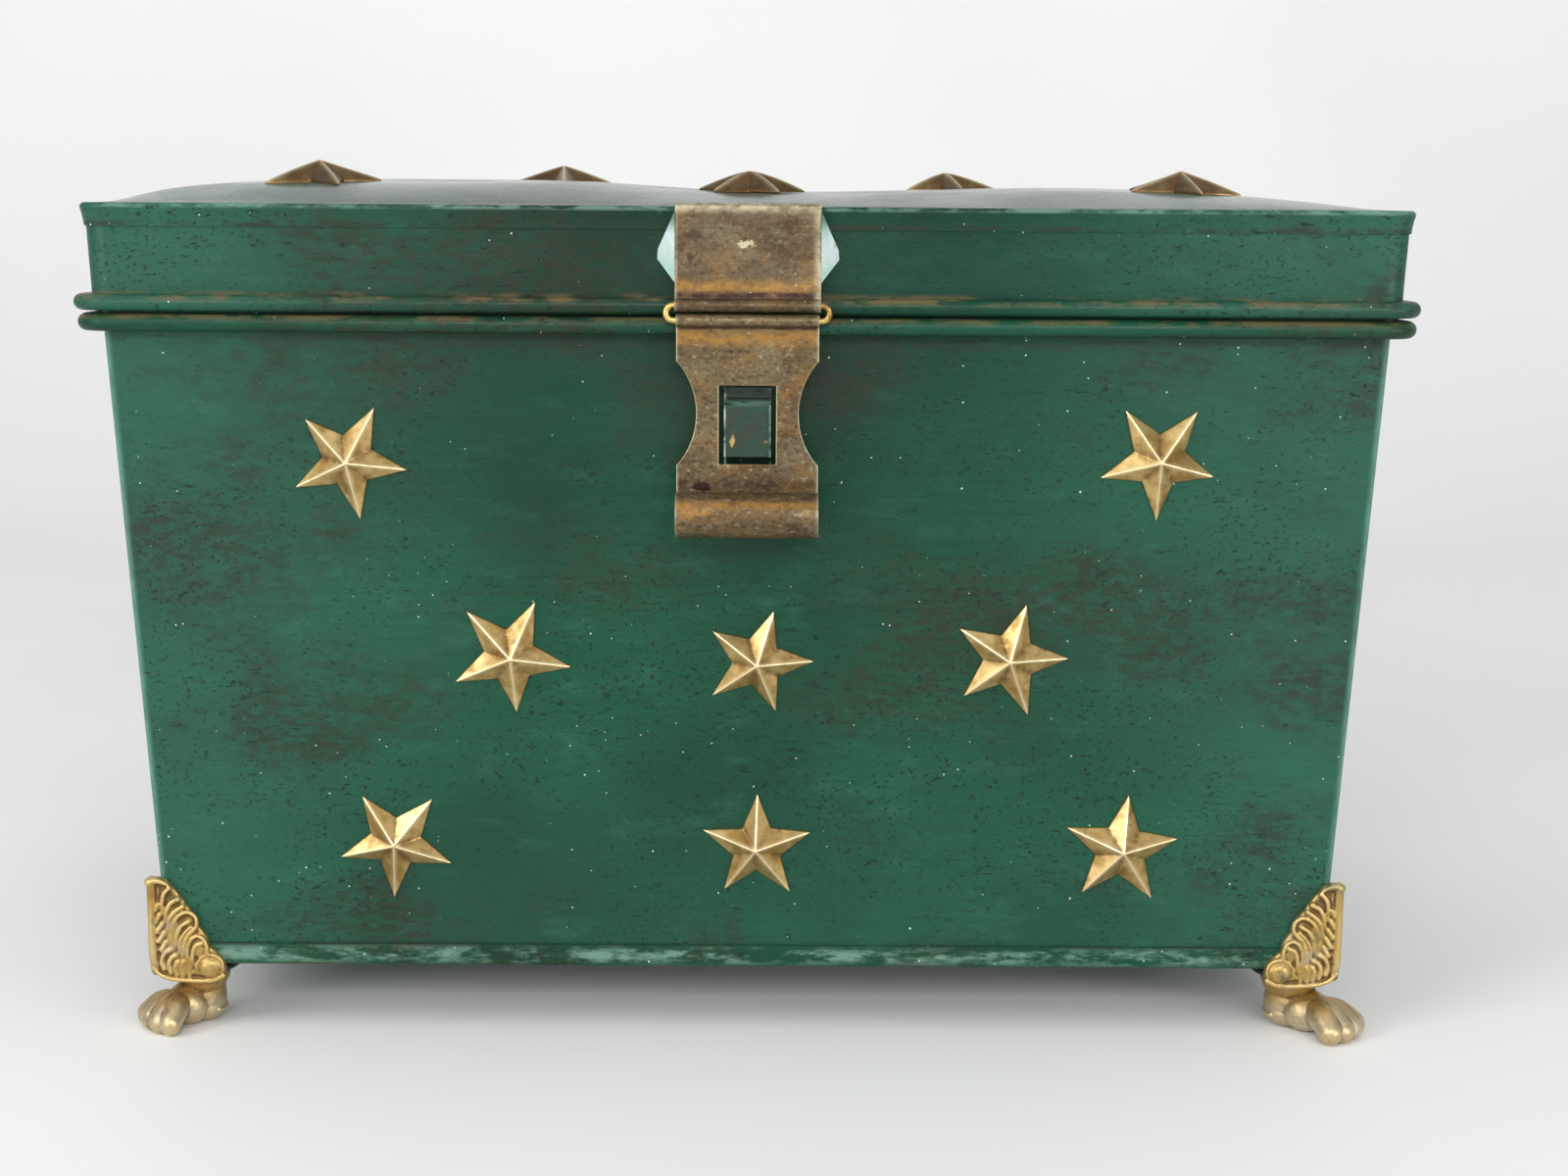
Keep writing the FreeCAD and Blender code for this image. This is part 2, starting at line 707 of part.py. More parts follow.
def wing_solid():
    # Wing on the face that looks along +Y: a web whose edge is lobed by the feathers and the scroll
    low = -knee_drop
    centres = []
    for step in range(feather_count):
        inset = feather_inset + feather_step_in * step
        centres.append(on_wing(inset, feather_rise - feather_step_down * step))
    scroll = on_wing(scroll_inset, scroll_rise)
    top = on_wing(wing_top_reach, wing_height)
    foot_end = on_wing(wing_reach, low)
    # The two wings meet where their outer faces cross, under the ridge
    meet = ridge_stand - wing_stand
    ridge_foot = on_wing(meet, low + knee_round)
    knee_foot = on_wing(meet + knee_round, low)
    bow = knee_round * (1 - math.cos(math.radians(HALF_CORNER)))
    web_points = [ridge_foot, on_wing(meet, wing_height), top] + centres + [scroll, foot_end, knee_foot]
    edges = Part.makePolygon(web_points).Edges
    edges.append(Part.Arc(knee_foot, on_wing(meet + bow, low + bow), ridge_foot).toShape())
    depth = wing_stand + seat_overlap
    pieces = [Part.Face(Part.Wire(edges)).extrude(DEEP * -depth)]
    for centre in centres:
        pieces.append(Part.makeCylinder(feather_radius, depth, centre, DEEP * -1))
        rib = rib_section(centre, feather_radius, feather_rib)
        vane = rib_section(centre, vane_radius, vane_rib)
        stem = min(feather_stem, centre.z - low - hem_bar_rise)
        pieces.append(rib.revolve(centre, DEEP * -1, feather_curl))
        pieces.append(rib.extrude(UP * -stem))
        pieces.append(vane.revolve(centre, DEEP * -1, feather_curl))
    pieces.append(Part.makeCylinder(scroll_radius + scroll_rib / 2, depth, scroll, DEEP * -1))
    pieces.append(rib_section(scroll, scroll_radius, scroll_rib).revolve(scroll, DEEP, 2 * HALF_TURN))
    pieces.append(stud(scroll, scroll_boss, scroll_rib))
    for step in range(scale_count):
        scale = on_wing(scale_inset, scale_rise - scale_step * step)
        pieces.append(stud(scale, scale_radius - scale_stand, scale_stand))
    bar_start = on_wing(knee_round, low + hem_bar_rise)
    bar_length = wing_reach + hem_bar_overhang - knee_round
    pieces.append(Part.makeCylinder(hem_bar_radius, bar_length, bar_start, ALONG * -1))
    cap_start = on_wing(cap_radius, wing_height - cap_radius + cap_lift)
    cap_length = wing_top_reach - cap_radius
    pieces.append(Part.makeCone(cap_radius, cap_end_radius, cap_length, cap_start, ALONG * -1))
    return joined(pieces)


def paw_solids():
    floor = -foot_stand
    ankle = V(-ankle_inset, -ankle_inset, floor + heel_height)
    instep = ankle + diagonal * instep_set
    instep.z = floor + instep_height
    root = ankle + diagonal * toe_root
    root.z = floor + toe_root_height
    shin = foot_stand - seat_height - heel_height
    solids = [
        Part.makeCone(ankle_radius, ankle_top_radius, shin, ankle, UP),
        capsule(ankle, instep, heel_radius, instep_radius),
    ]
    for toe in range(toe_count):
        way = FreeCAD.Rotation(UP, (toe - (toe_count - 1) / 2) * toe_fan).multVec(diagonal)
        start = root + way * toe_set
        tip = root + way * toe_length
        tip.z = floor + toe_radius - sole_cut
        joint = start + (tip - start) * toe_joint_share + UP * toe_joint_lift
        solids.append(capsule(start, tip, toe_root_radius, toe_radius))
        solids.append(Part.makeSphere(toe_joint_radius, joint))
    return solids


def foot_solid():
    wing = wing_solid()
    ridge_place = ridge_stand - ridge_radius
    ridge_low = V(ridge_place, ridge_place, knee_round - knee_drop)
    ridge_length = wing_height - cap_radius - ridge_low.z
    cap_place = ridge_stand - cap_radius
    seat_block = Part.makeBox(seat_reach, seat_reach, seat_height, V(-seat_reach, -seat_reach, -seat_height))
    seat = seat_block.common(Part.makeCylinder(seat_reach, seat_height, UP * -seat_height, UP))
    edge_solids = [
        Part.makeCylinder(ridge_radius, ridge_length, ridge_low, UP),
        Part.makeSphere(ridge_radius, ridge_low),
        Part.makeSphere(cap_radius, V(cap_place, cap_place, wing_height - cap_radius + cap_lift)),
    ]
    block = joined([wing, wing.mirror(ORIGIN, V(1, -1, 0)), seat] + edge_solids + paw_solids())
    size = 2 * (seat_reach + toe_length + heel_radius)
    ground = Part.makeBox(size, size, size, V(-size / 2, -size / 2, -foot_stand - size))
    return block.cut(ground)


foot = foot_solid().translated(corner)
body_room = body_block(seam_gap + sheet + foot_gap, foot_stand - foot_gap, hem_top + foot_gap)
wall_room = body_block(foot_gap, hem_top, ledge_low)
foot = foot.cut(body_room.fuse(wall_room)).removeSplitter()
foot_right = foot.mirror(ORIGIN, DEEP)
parts["back_right_foot"] = foot
parts["front_right_foot"] = foot_right
parts["back_left_foot"] = foot.mirror(ORIGIN, ALONG)
parts["front_left_foot"] = foot_right.mirror(ORIGIN, ALONG)

os.makedirs("parts", exist_ok=True)
for node, shape in parts.items():
    shape.translated(plan_shift).exportStep("parts/%s.step" % node)
    solids = len(shape.Solids)
    print(node, "solids", solids, "valid", shape.isValid(), "volume", round(shape.Volume, 2))
print("plan shift", plan_shift, "lid axis", hinge_y + plan_shift.y, hinge_z)
print("link axis", knuckle_y + plan_shift.y, upper_knuckle_z, "flap axis", lower_knuckle_z)
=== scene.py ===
import math

import bmesh
import bpy
import numpy as np
from mathutils import Matrix, Vector, kdtree, noise
from mathutils.bvhtree import BVHTree


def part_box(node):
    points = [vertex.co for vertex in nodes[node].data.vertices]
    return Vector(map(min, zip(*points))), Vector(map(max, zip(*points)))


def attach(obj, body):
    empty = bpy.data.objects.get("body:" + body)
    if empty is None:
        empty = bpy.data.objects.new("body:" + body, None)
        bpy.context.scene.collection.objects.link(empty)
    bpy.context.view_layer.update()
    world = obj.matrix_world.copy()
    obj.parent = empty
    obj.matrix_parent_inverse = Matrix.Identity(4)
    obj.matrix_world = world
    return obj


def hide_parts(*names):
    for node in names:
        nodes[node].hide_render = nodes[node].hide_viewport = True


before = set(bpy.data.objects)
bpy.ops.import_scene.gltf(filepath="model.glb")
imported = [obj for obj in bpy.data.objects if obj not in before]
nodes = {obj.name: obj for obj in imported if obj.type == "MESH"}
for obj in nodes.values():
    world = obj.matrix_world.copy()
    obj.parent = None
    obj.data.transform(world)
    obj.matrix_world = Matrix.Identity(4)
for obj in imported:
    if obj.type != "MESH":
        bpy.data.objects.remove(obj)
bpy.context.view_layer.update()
MM = 0.001

# Boxes of the pieces that the looks are placed by
ledge_low, ledge_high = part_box("rim_ledge_front")
lip_low, lip_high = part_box("lid_lip_front")
sheet_low, sheet_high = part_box("bottom_sheet")
skirt_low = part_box("lid_skirt_front")[0]
hem_low, hem_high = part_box("bottom_hem")
leaf_low, leaf_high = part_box("hasp_leaf")
flap_low, flap_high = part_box("hasp_flap")
staple_low, staple_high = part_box("hasp_staple")

# Camera, fitted to the photograph: place in metres, angles in degrees,
# focal length in pixels of the 1600 wide image
CAMERA_PLACE = (0.00775, -0.81659, 0.25722)
CAMERA_PITCH = 9.227
CAMERA_YAW = 0.281
CAMERA_ROLL = 0.39
FOCAL_PIXELS = 2400.0
IMAGE_WIDTH = 1600.0
SENSOR_WIDTH = 36.0

# Noise patterns: frequency across and up per metre, offset, detail, roughness
NO_OFFSET = (0.0, 0.0, 0.0)
PATTERNS = {
    "paint_tone": (7.0, 9.0, (3.1, 0.4, 1.7), 3.0, 0.55),
    "paint_brush": (40.0, 900.0, (0.0, 0.0, 5.0), 4.0, 0.65),
    "paint_cloud": (60.0, 150.0, (8.0, 2.0, 4.0), 6.0, 0.65),
    "paint_patches": (10.0, 15.0, (0.7, 5.0, 2.2), 5.0, 0.6),
    "paint_breakup": (170.0, 380.0, (1.0, 2.0, 9.0), 6.0, 0.72),
    "paint_clusters": (17.0, 26.0, (4.0, 9.0, 6.0), 4.0, 0.55),
    "paint_dash": (180.0, 760.0, (2.0, 7.0, 1.0), 6.0, 0.68),
    "paint_crowd": (24.0, 30.0, (7.0, 3.0, 8.0), 4.0, 0.55),
    "paint_dots": (640.0, 980.0, (5.0, 2.0, 3.0), 4.0, 0.6),
    "paint_coarse": (270.0, 460.0, (1.0, 4.0, 9.0), 4.0, 0.6),
    "paint_rub": (70.0, 240.0, (6.0, 1.0, 3.0), 6.0, 0.7),
    "paint_gloss": (30.0, 90.0, (2.0, 6.0, 8.0), 4.0, 0.55),
    "paint_grain": (260.0, 420.0, NO_OFFSET, 4.0, 0.55),
    "corner_chips": (260.0, 90.0, (3.0, 8.0, 1.0), 6.0, 0.7),
    "brass_cloud": (60.0, 85.0, (1.0, 0.0, 3.0), 8.0, 0.68),
    "brass_grain": (620.0, 900.0, (2.0, 9.0, 4.0), 4.0, 0.7),
    "brass_ochre": (80.0, 105.0, (7.0, 2.0, 1.0), 8.0, 0.72),
    "brass_streak": (50.0, 700.0, (6.0, 2.0, 9.0), 6.0, 0.7),
    "brass_dark": (120.0, 210.0, (3.0, 5.0, 8.0), 7.0, 0.74),
    "brass_line": (230.0, 360.0, (9.0, 3.0, 4.0), 7.0, 0.74),
    "star_cloud": (140.0, 140.0, (2.0, 1.0, 6.0), 6.0, 0.6),
    "star_stain": (230.0, 230.0, (8.0, 3.0, 5.0), 6.0, 0.68),
    "star_grime": (320.0, 320.0, NO_OFFSET, 5.0, 0.7),
    "star_grain": (500.0, 500.0, NO_OFFSET, 5.0, 0.55),
    "gilt_cloud": (90.0, 90.0, (5.0, 2.0, 8.0), 6.0, 0.6),
    "gilt_worn": (60.0, 70.0, (1.0, 9.0, 3.0), 6.0, 0.66),
    "gilt_soot": (260.0, 260.0, (3.0, 7.0, 2.0), 6.0, 0.72),
    "gilt_green": (110.0, 110.0, (4.0, 4.0, 1.0), 5.0, 0.7),
    "gilt_grain": (420.0, 420.0, NO_OFFSET, 6.0, 0.7),
    "link_cloud": (240.0, 240.0, NO_OFFSET, 5.0, 0.55),
    "link_grain": (700.0, 700.0, NO_OFFSET, 4.0, 0.55),
    "solder_cloud": (120.0, 80.0, (3.0, 1.0, 7.0), 5.0, 0.55),
    "solder_stain": (330.0, 260.0, (1.0, 6.0, 2.0), 5.0, 0.7),
    "solder_grain": (200.0, 160.0, NO_OFFSET, 4.0, 0.55),
    "wire_cloud": (160.0, 160.0, NO_OFFSET, 4.0, 0.55),
    "floor_tone": (2.0, 2.0, NO_OFFSET, 2.0, 0.55),
}
# Specks: cells per metre, radius in cells, share of the cells that hold one, offset
SPECKS = {
    "paint_dust": (160.0, 0.05, 0.4, (9.0, 4.0, 2.0)),
    "paint_lint": (460.0, 0.11, 0.1, (2.0, 8.0, 5.0)),
    "brass_pits": (640.0, 0.4, 0.25, NO_OFFSET),
    "brass_dust": (300.0, 0.07, 0.3, (2.0, 4.0, 7.0)),
}
SPECK_LEAST = 0.4
SPECK_EDGE = 0.5


# Colours are written as 8-bit sRGB and turned into linear values
def srgb(red, green, blue):
    linear = []
    for value in (red, green, blue):
        share = value / 255.0
        linear.append(share / 12.92 if share <= 0.04045 else ((share + 0.055) / 1.055) ** 2.4)
    return (*linear, 1.0)


class Graph:
    """Adds shader nodes to a new material and links them by socket or value."""

    def __init__(self, name):
        self.material = bpy.data.materials.new(name)
        self.material.use_nodes = True
        self.tree = self.material.node_tree
        self.shader = self.tree.nodes["Principled BSDF"]
        self.color = None
        self.place = self.add("ShaderNodeTexCoord").outputs["Object"]

    def feed(self, socket, value):
        if isinstance(value, bpy.types.NodeSocket):
            self.tree.links.new(value, socket)
        else:
            socket.default_value = value

    def add(self, kind, inputs=None, **settings):
        node = self.tree.nodes.new(kind)
        for key, value in settings.items():
            setattr(node, key, value)
        for key, value in (inputs or {}).items():
            self.feed(node.inputs[key], value)
        return node

    def set(self, **inputs):
        for key, value in inputs.items():
            self.feed(self.shader.inputs[key.replace("_", " ")], value)

    def stretch(self, across, up, offset):
        # Place in metres times a frequency across and one up
        inputs = {"Vector": self.place, "Location": offset, "Scale": (across, across, up)}
        return self.add("ShaderNodeMapping", inputs).outputs[0]

    def noise(self, across, up, offset, detail, roughness):
        vector = self.stretch(across, up, offset)
        inputs = {"Vector": vector, "Scale": 1.0, "Detail": detail, "Roughness": roughness}
        return self.add("ShaderNodeTexNoise", inputs).outputs["Fac"]

    def pattern(self, name):
        return self.noise(*PATTERNS[name])

    def band(self, value, low, high, start=0.0, end=1.0):
        # Smooth step from start at low to end at high
        inputs = {0: value, 1: low, 2: high, 3: start, 4: end}
        return self.add("ShaderNodeMapRange", inputs, interpolation_type="SMOOTHSTEP").outputs[0]

    def patch(self, name, *limits, **ends):
        return self.band(self.pattern(name), *limits, **ends)

    def math(self, operation, first, second=0.0):
        return self.add("ShaderNodeMath", {0: first, 1: second}, operation=operation).outputs[0]

    def times(self, *values):
        result = values[0]
        for value in values[1:]:
            result = self.math("MULTIPLY", result, value)
        return result

    def mix(self, share, first, second):
        node = self.add("ShaderNodeMix", data_type="RGBA")
        self.feed(node.inputs[0], share)
        self.feed(node.inputs[6], first)
        self.feed(node.inputs[7], second)
        return node.outputs[2]

    def cover(self, tint, *shares):
        # Lays a tint over the colour so far by the product of the shares
        self.color = self.mix(self.times(*shares), self.color, tint)

    def axis(self, name):
        return self.add("ShaderNodeSeparateXYZ", {0: self.place}).outputs[name]

    def attribute(self, name):
        return self.add("ShaderNodeAttribute", attribute_name=name).outputs["Fac"]

    def away(self, axis, middle):
        return self.math("ABSOLUTE", self.math("SUBTRACT", self.axis(axis), middle))

    def stripe(self, axis, middle, half):
        # One on a line across the axis, fading to nothing at its half width
        return self.band(self.away(axis, middle), 0.0, half, 1.0, 0.0)

    def specks(self, name):
        # Round specks in some cells of a Voronoi pattern
        frequency, radius, keep, offset = SPECKS[name]
        vector = self.stretch(frequency, frequency, offset)
        cells = self.add("ShaderNodeTexVoronoi", {"Vector": vector, "Scale": 1.0})
        shades = self.add("ShaderNodeSeparateColor", {0: cells.outputs["Color"]}).outputs
        chosen = self.math("LESS_THAN", shades[0], keep)
        edge = self.times(self.math("ADD", shades[1], SPECK_LEAST), radius)
        inside = self.math("SUBTRACT", edge, cells.outputs["Distance"])
        return self.times(self.band(inside, 0.0, radius * SPECK_EDGE), chosen)

    def bump(self, height, strength, distance):
        inputs = {"Strength": strength, "Distance": distance, "Height": height}
        self.feed(self.shader.inputs["Normal"], self.add("ShaderNodeBump", inputs).outputs[0])


# Paint
PAINT_SHADE = srgb(4, 40, 26)
PAINT_DEEP = srgb(7, 50, 33)
PAINT_FRESH = srgb(15, 70, 48)
PAINT_HAZE = srgb(48, 98, 81)
GLAZE_AND_SHADE_BROWN = srgb(38, 40, 28)
DASH_DARK = srgb(10, 28, 21)
DUST_PALE = srgb(190, 206, 196)
RUB_BROWN = srgb(104, 88, 60)
PALE_RUB_AND_HIGHLIGHT = srgb(122, 158, 140)
EDGE_MINT_HIGHLIGHT = srgb(112, 164, 146)
CHIP_OCHRE = srgb(170, 140, 84)
# Shares by which each mark covers the paint
BRUSH_AMOUNT = 0.45
CLOUD_AMOUNT = 0.36
SHADE_AMOUNT = 0.55
HAZE_AMOUNT = 0.42
GLAZE_AMOUNT = 0.78
DASH_AMOUNT = 0.8
DOT_AMOUNT = 0.88
CORNER_AMOUNT = 0.7
DUST_AMOUNT = 0.8
# Shares of brush marks, grain and dots in the relief
BRUSH_RELIEF = 0.5
GRAIN_RELIEF = 0.8
DOT_RELIEF = 0.6
SATIN_ROUGHNESS = (0.3, 0.46)
COAT_ROUGHNESS = 0.12
# Walls lean outward from the bottom sheet, whose half sizes and middle place their corners
WALL_TAPER = 2.85
WALL_LEAN_SHARE = math.tan(math.radians(WALL_TAPER))
WALL_FOOT_HALF = (sheet_high - sheet_low) / 2
WALL_MIDDLE_Y = (sheet_low.y + sheet_high.y) / 2
# Insets from a corner between which the pale line, partly wear and partly painted highlight, and the chips
# fade out
CORNER_WEAR_AND_HIGHLIGHT = (0.2 * MM, 3.0 * MM)
CORNER_CHIP = (0.4 * MM, 1.6 * MM)
# Distances from the middle and heights between which the paler haze, painted light and partly dust,
# thickens
HAZE_START = 50.0 * MM
HAZE_END = 185.0 * MM
HAZE_FOOT_TOP = 130.0 * MM
HAZE_FOOT_LOW = 25.0 * MM
HAZE_FOOT_AMOUNT = 0.5
SPOT_SCALE = 420.0
SPOT_SHIFT = 900.0
SPOT_RAGGED = 0.5


def add_spot(g, x, z, half_width, half_height, amount, tint):
    # An irregular mark on a face that looks forward
    across = g.math("DIVIDE", g.math("SUBTRACT", g.axis("X"), x), half_width * MM)
    up = g.math("DIVIDE", g.math("SUBTRACT", g.axis("Z"), z), half_height * MM)
    away = g.math("SQRT", g.math("ADD", g.times(across, across), g.times(up, up)))
    ragged = g.noise(SPOT_SCALE, SPOT_SCALE, (x * SPOT_SHIFT, 1.0, z * SPOT_SHIFT), 5.0, 0.7)
    edge = g.math("ADD", away, g.band(ragged, 0.3, 0.7, -SPOT_RAGGED, SPOT_RAGGED))
    g.cover(tint, g.band(edge, 1.0, 0.7, end=amount))


def corner_wear_and_highlight(g):
    # Shares of a pale line, partly wear and partly painted highlight, and of chips on the rounded corners,
    # where two walls' faces are both near
    lean = g.times(g.math("SUBTRACT", g.axis("Z"), sheet_low.z), WALL_LEAN_SHARE)
    gaps = []
    for axis, half, middle in (("X", WALL_FOOT_HALF.x, 0.0), ("Y", WALL_FOOT_HALF.y, WALL_MIDDLE_Y)):
        gaps.append(g.math("SUBTRACT", g.math("ADD", lean, half), g.away(axis, middle)))
    inset = g.math("MAXIMUM", gaps[0], gaps[1])
    chips = g.pattern("corner_chips")
    worn = g.times(g.band(inset, *CORNER_WEAR_AND_HIGHLIGHT, 1.0, 0.0), g.band(chips, 0.3, 0.62, start=0.35))
    chipped = g.times(g.band(inset, *CORNER_CHIP, 1.0, 0.0), g.band(chips, 0.64, 0.7))
    return worn, chipped


def painted_haze_and_shade(g):
    # Paler haze towards the ends of the front and towards the floor, painted light and partly dust, and
    # painted shade that darkens the middle towards the ledge
    ends = g.band(g.math("ABSOLUTE", g.axis("X")), HAZE_START, HAZE_END)
    foot = g.band(g.axis("Z"), HAZE_FOOT_TOP, HAZE_FOOT_LOW)
    middle = g.math("SUBTRACT", 1.0, ends)
    # Painted shade: the middle darkens upward towards the ledge
    shade = g.times(middle, g.band(g.axis("Z"), HAZE_FOOT_TOP, ledge_low.z))
    return g.math("MAXIMUM", ends, g.times(foot, HAZE_FOOT_AMOUNT)), shade


def green_paint(name, rubs_and_painted_light=(), gloss=0.0, sheen=0.2, coat=0.0, haze_and_shade=False, corners=False, chips=()):
    g = Graph(name)
    g.color = g.mix(g.patch("paint_tone", 0.36, 0.64), PAINT_DEEP, PAINT_FRESH)
    brush = g.pattern("paint_brush")
    g.cover(PAINT_DEEP, g.band(brush, 0.42, 0.75, end=BRUSH_AMOUNT))
    g.cover(PAINT_HAZE, g.patch("paint_cloud", 0.5, 0.78, end=CLOUD_AMOUNT))
    # Painted haze at the ends and towards the floor, partly dust, and painted shade under the ledge
    if haze_and_shade:
        painted_haze, ledge_shade = painted_haze_and_shade(g)
        g.cover(PAINT_SHADE, ledge_shade, SHADE_AMOUNT)
        g.cover(PAINT_HAZE, painted_haze, HAZE_AMOUNT)
    # Brown glaze left in soft patches
    patches = g.patch("paint_patches", 0.47, 0.64)
    breakup = g.patch("paint_breakup", 0.38, 0.6)
    broken = g.band(breakup, 0.0, 1.0, start=0.3)
    g.cover(GLAZE_AND_SHADE_BROWN, patches, broken, GLAZE_AMOUNT)
    # Short dark dashes and fine dots, crowded in some places
    clusters = g.patch("paint_clusters", 0.4, 0.6)
    dash = g.patch("paint_dash", 0.575, 0.68)
    g.cover(DASH_DARK, dash, clusters, DASH_AMOUNT)
    crowd = g.patch("paint_crowd", 0.36, 0.6, start=0.12)
    dots = g.patch("paint_dots", 0.56, 0.66)
    coarse = g.patch("paint_coarse", 0.62, 0.7)
    dotted = g.math("MAXIMUM", g.times(dots, crowd), g.times(coarse, clusters))
    g.cover(DASH_DARK, dotted, DOT_AMOUNT)
    # Edges and bends rubbed through or holding glaze, with some lines of painted highlight and bands of
    # painted shade
    patchy = g.patch("paint_rub", 0.42, 0.6)
    for axis, middle, half, amount, tint in rubs_and_painted_light:
        g.cover(tint, g.stripe(axis, middle, half * MM), patchy, amount)
    for spot in chips:
        add_spot(g, *spot)
    if corners:
        worn, chipped = corner_wear_and_highlight(g)
        # Pale mint on the corners: painted highlight, partly worn paint
        g.cover(EDGE_MINT_HIGHLIGHT, worn, CORNER_AMOUNT)
        g.cover(DUST_PALE, chipped)
    dust = g.math("MAXIMUM", g.specks("paint_dust"), g.specks("paint_lint"))
    g.cover(DUST_PALE, dust, DUST_AMOUNT)
    smooth, rough = SATIN_ROUGHNESS
    g.set(
        Base_Color=g.color,
        Roughness=g.patch("paint_gloss", 0.3, 0.7, smooth - gloss, rough - gloss),
        Specular_IOR_Level=sheen,
        Coat_Weight=coat,
        Coat_Roughness=COAT_ROUGHNESS,
    )
    grain = g.math("ADD", g.times(brush, BRUSH_RELIEF), g.times(g.pattern("paint_grain"), GRAIN_RELIEF))
    relief = g.math("SUBTRACT", grain, g.times(dotted, DOT_RELIEF))
    g.bump(relief, strength=0.35, distance=0.25 * MM)
    return g.material


# Aged brass of the hasp and hinges
BRASS_BROWN = srgb(88, 69, 42)
BRASS_OCHRE = srgb(150, 109, 45)
BRASS_DARK = srgb(46, 33, 20)
BRASS_GREY = srgb(108, 95, 70)
BRASS_PALE = srgb(178, 170, 142)
BRASS_RUST = srgb(44, 20, 10)
OCHRE_AMOUNT = 0.6
STREAK_AMOUNT = 0.45
GRAIN_DARK_AMOUNT = 0.75
GRAIN_PALE_AMOUNT = 0.5
DARK_AMOUNT = 0.7
PIT_AMOUNT = 0.5
PIT_RELIEF = 0.6
BRASS_DUST_AMOUNT = 0.7
EDGE_HIGHLIGHT_AMOUNT = 0.9


def aged_brass(name, worn_and_lit_lines=(), rust_lines=(), ochre_lines=(), spots=(), painted_shade=0.0):
    g = Graph(name)
    cloud = g.patch("brass_cloud", 0.36, 0.64)
    g.color = g.mix(cloud, BRASS_BROWN, BRASS_GREY)
    grain = g.pattern("brass_grain")
    ochre = g.times(g.patch("brass_ochre", 0.46, 0.68), g.band(grain, 0.34, 0.6, start=0.3))
    g.cover(BRASS_OCHRE, ochre, OCHRE_AMOUNT)
    g.cover(BRASS_DARK, g.patch("brass_streak", 0.5, 0.7, end=STREAK_AMOUNT))
    g.cover(BRASS_DARK, g.band(grain, 0.5, 0.68, end=GRAIN_DARK_AMOUNT))
    g.cover(BRASS_PALE, g.band(grain, 0.44, 0.3, end=GRAIN_PALE_AMOUNT))
    dark = g.patch("brass_dark", 0.54, 0.7)
    g.cover(BRASS_DARK, dark, DARK_AMOUNT)
    # Painted shade: darkens the whole piece by this share
    g.cover(BRASS_DARK, painted_shade)
    pits = g.specks("brass_pits")
    g.cover(BRASS_DARK, pits, PIT_AMOUNT)
    patchy = g.patch("brass_line", 0.38, 0.6, start=0.3)
    # Pale lines are worn brass, and on the leaf's top a painted reflection
    for lines, tint in ((ochre_lines, BRASS_OCHRE), (rust_lines, BRASS_RUST), (worn_and_lit_lines, BRASS_PALE)):
        for axis, middle, half, amount in lines:
            g.cover(tint, g.stripe(axis, middle, half * MM), patchy, amount)
    for spot in spots:
        add_spot(g, *spot)
    g.cover(DUST_PALE, g.specks("brass_dust"), BRASS_DUST_AMOUNT)
    # Cut edges of the sheet, whose normals lie along the width, are painted pale: painted highlight,
    # partly bare rubbed metal
    normal = g.add("ShaderNodeTexCoord").outputs["Normal"]
    side = g.math("ABSOLUTE", g.add("ShaderNodeSeparateXYZ", {0: normal}).outputs["X"])
    g.cover(BRASS_PALE, g.band(side, 0.2, 0.5, end=EDGE_HIGHLIGHT_AMOUNT))
    g.set(Base_Color=g.color, Roughness=g.band(cloud, 0.0, 1.0, 0.5, 0.38), Metallic=0.6)
    sunk = g.times(g.math("MAXIMUM", dark, pits), PIT_RELIEF)
    g.bump(g.math("SUBTRACT", grain, sunk), strength=0.28, distance=0.2 * MM)
    return g.material


# Stamped star brass
STAR_GOLD = srgb(206, 178, 120)
STAR_HIGHLIGHT_PALE = srgb(238, 220, 178)
STAR_STAIN_AND_SHADE_BROWN = srgb(104, 72, 38)
STAR_OLIVE = srgb(158, 128, 72)
# The lid stars take a darker, browner copy of the same brass: painted shade, with a little more staining
LID_STAR_SHADED_BROWN = srgb(114, 96, 66)
LID_STAR_SHADED_DARK = srgb(86, 68, 44)
LID_STAR_AGE = 0.06
STAIN_AMOUNT = 0.75
CREASE_SHADE_AMOUNT = 0.85
RIDGE_HIGHLIGHT_AMOUNT = 0.7
CREASE_SHADE_POWER = 1.6
RIDGE_HIGHLIGHT_POWER = 3.0


def star_brass(name, age, gold, shade):
    g = Graph(name)
    cloud = g.patch("star_cloud", 0.35, 0.65)
    g.color = g.mix(cloud, gold, shade)
    stain = g.patch("star_stain", 0.52 - age, 0.74 - age)
    g.cover(STAR_STAIN_AND_SHADE_BROWN, stain, STAIN_AMOUNT)
    # Brown in the valleys and round the foot: grime in the valleys, painted shade round the foot
    crease_grime_and_shade = g.math("POWER", g.attribute("crease_grime_and_shade"), CREASE_SHADE_POWER)
    grime = g.patch("star_grime", 0.3, 0.62)
    g.cover(STAR_STAIN_AND_SHADE_BROWN, crease_grime_and_shade, grime, CREASE_SHADE_AMOUNT)
    # Pale ridges: painted highlight, partly rubbed brass
    ridge = g.math("POWER", g.attribute("ridge"), RIDGE_HIGHLIGHT_POWER)
    g.cover(STAR_HIGHLIGHT_PALE, ridge, RIDGE_HIGHLIGHT_AMOUNT)
    g.set(Base_Color=g.color, Roughness=g.band(cloud, 0.0, 1.0, 0.3, 0.42), Metallic=0.9)
    g.bump(g.pattern("star_grain"), strength=0.18, distance=0.15 * MM)
    return g.material


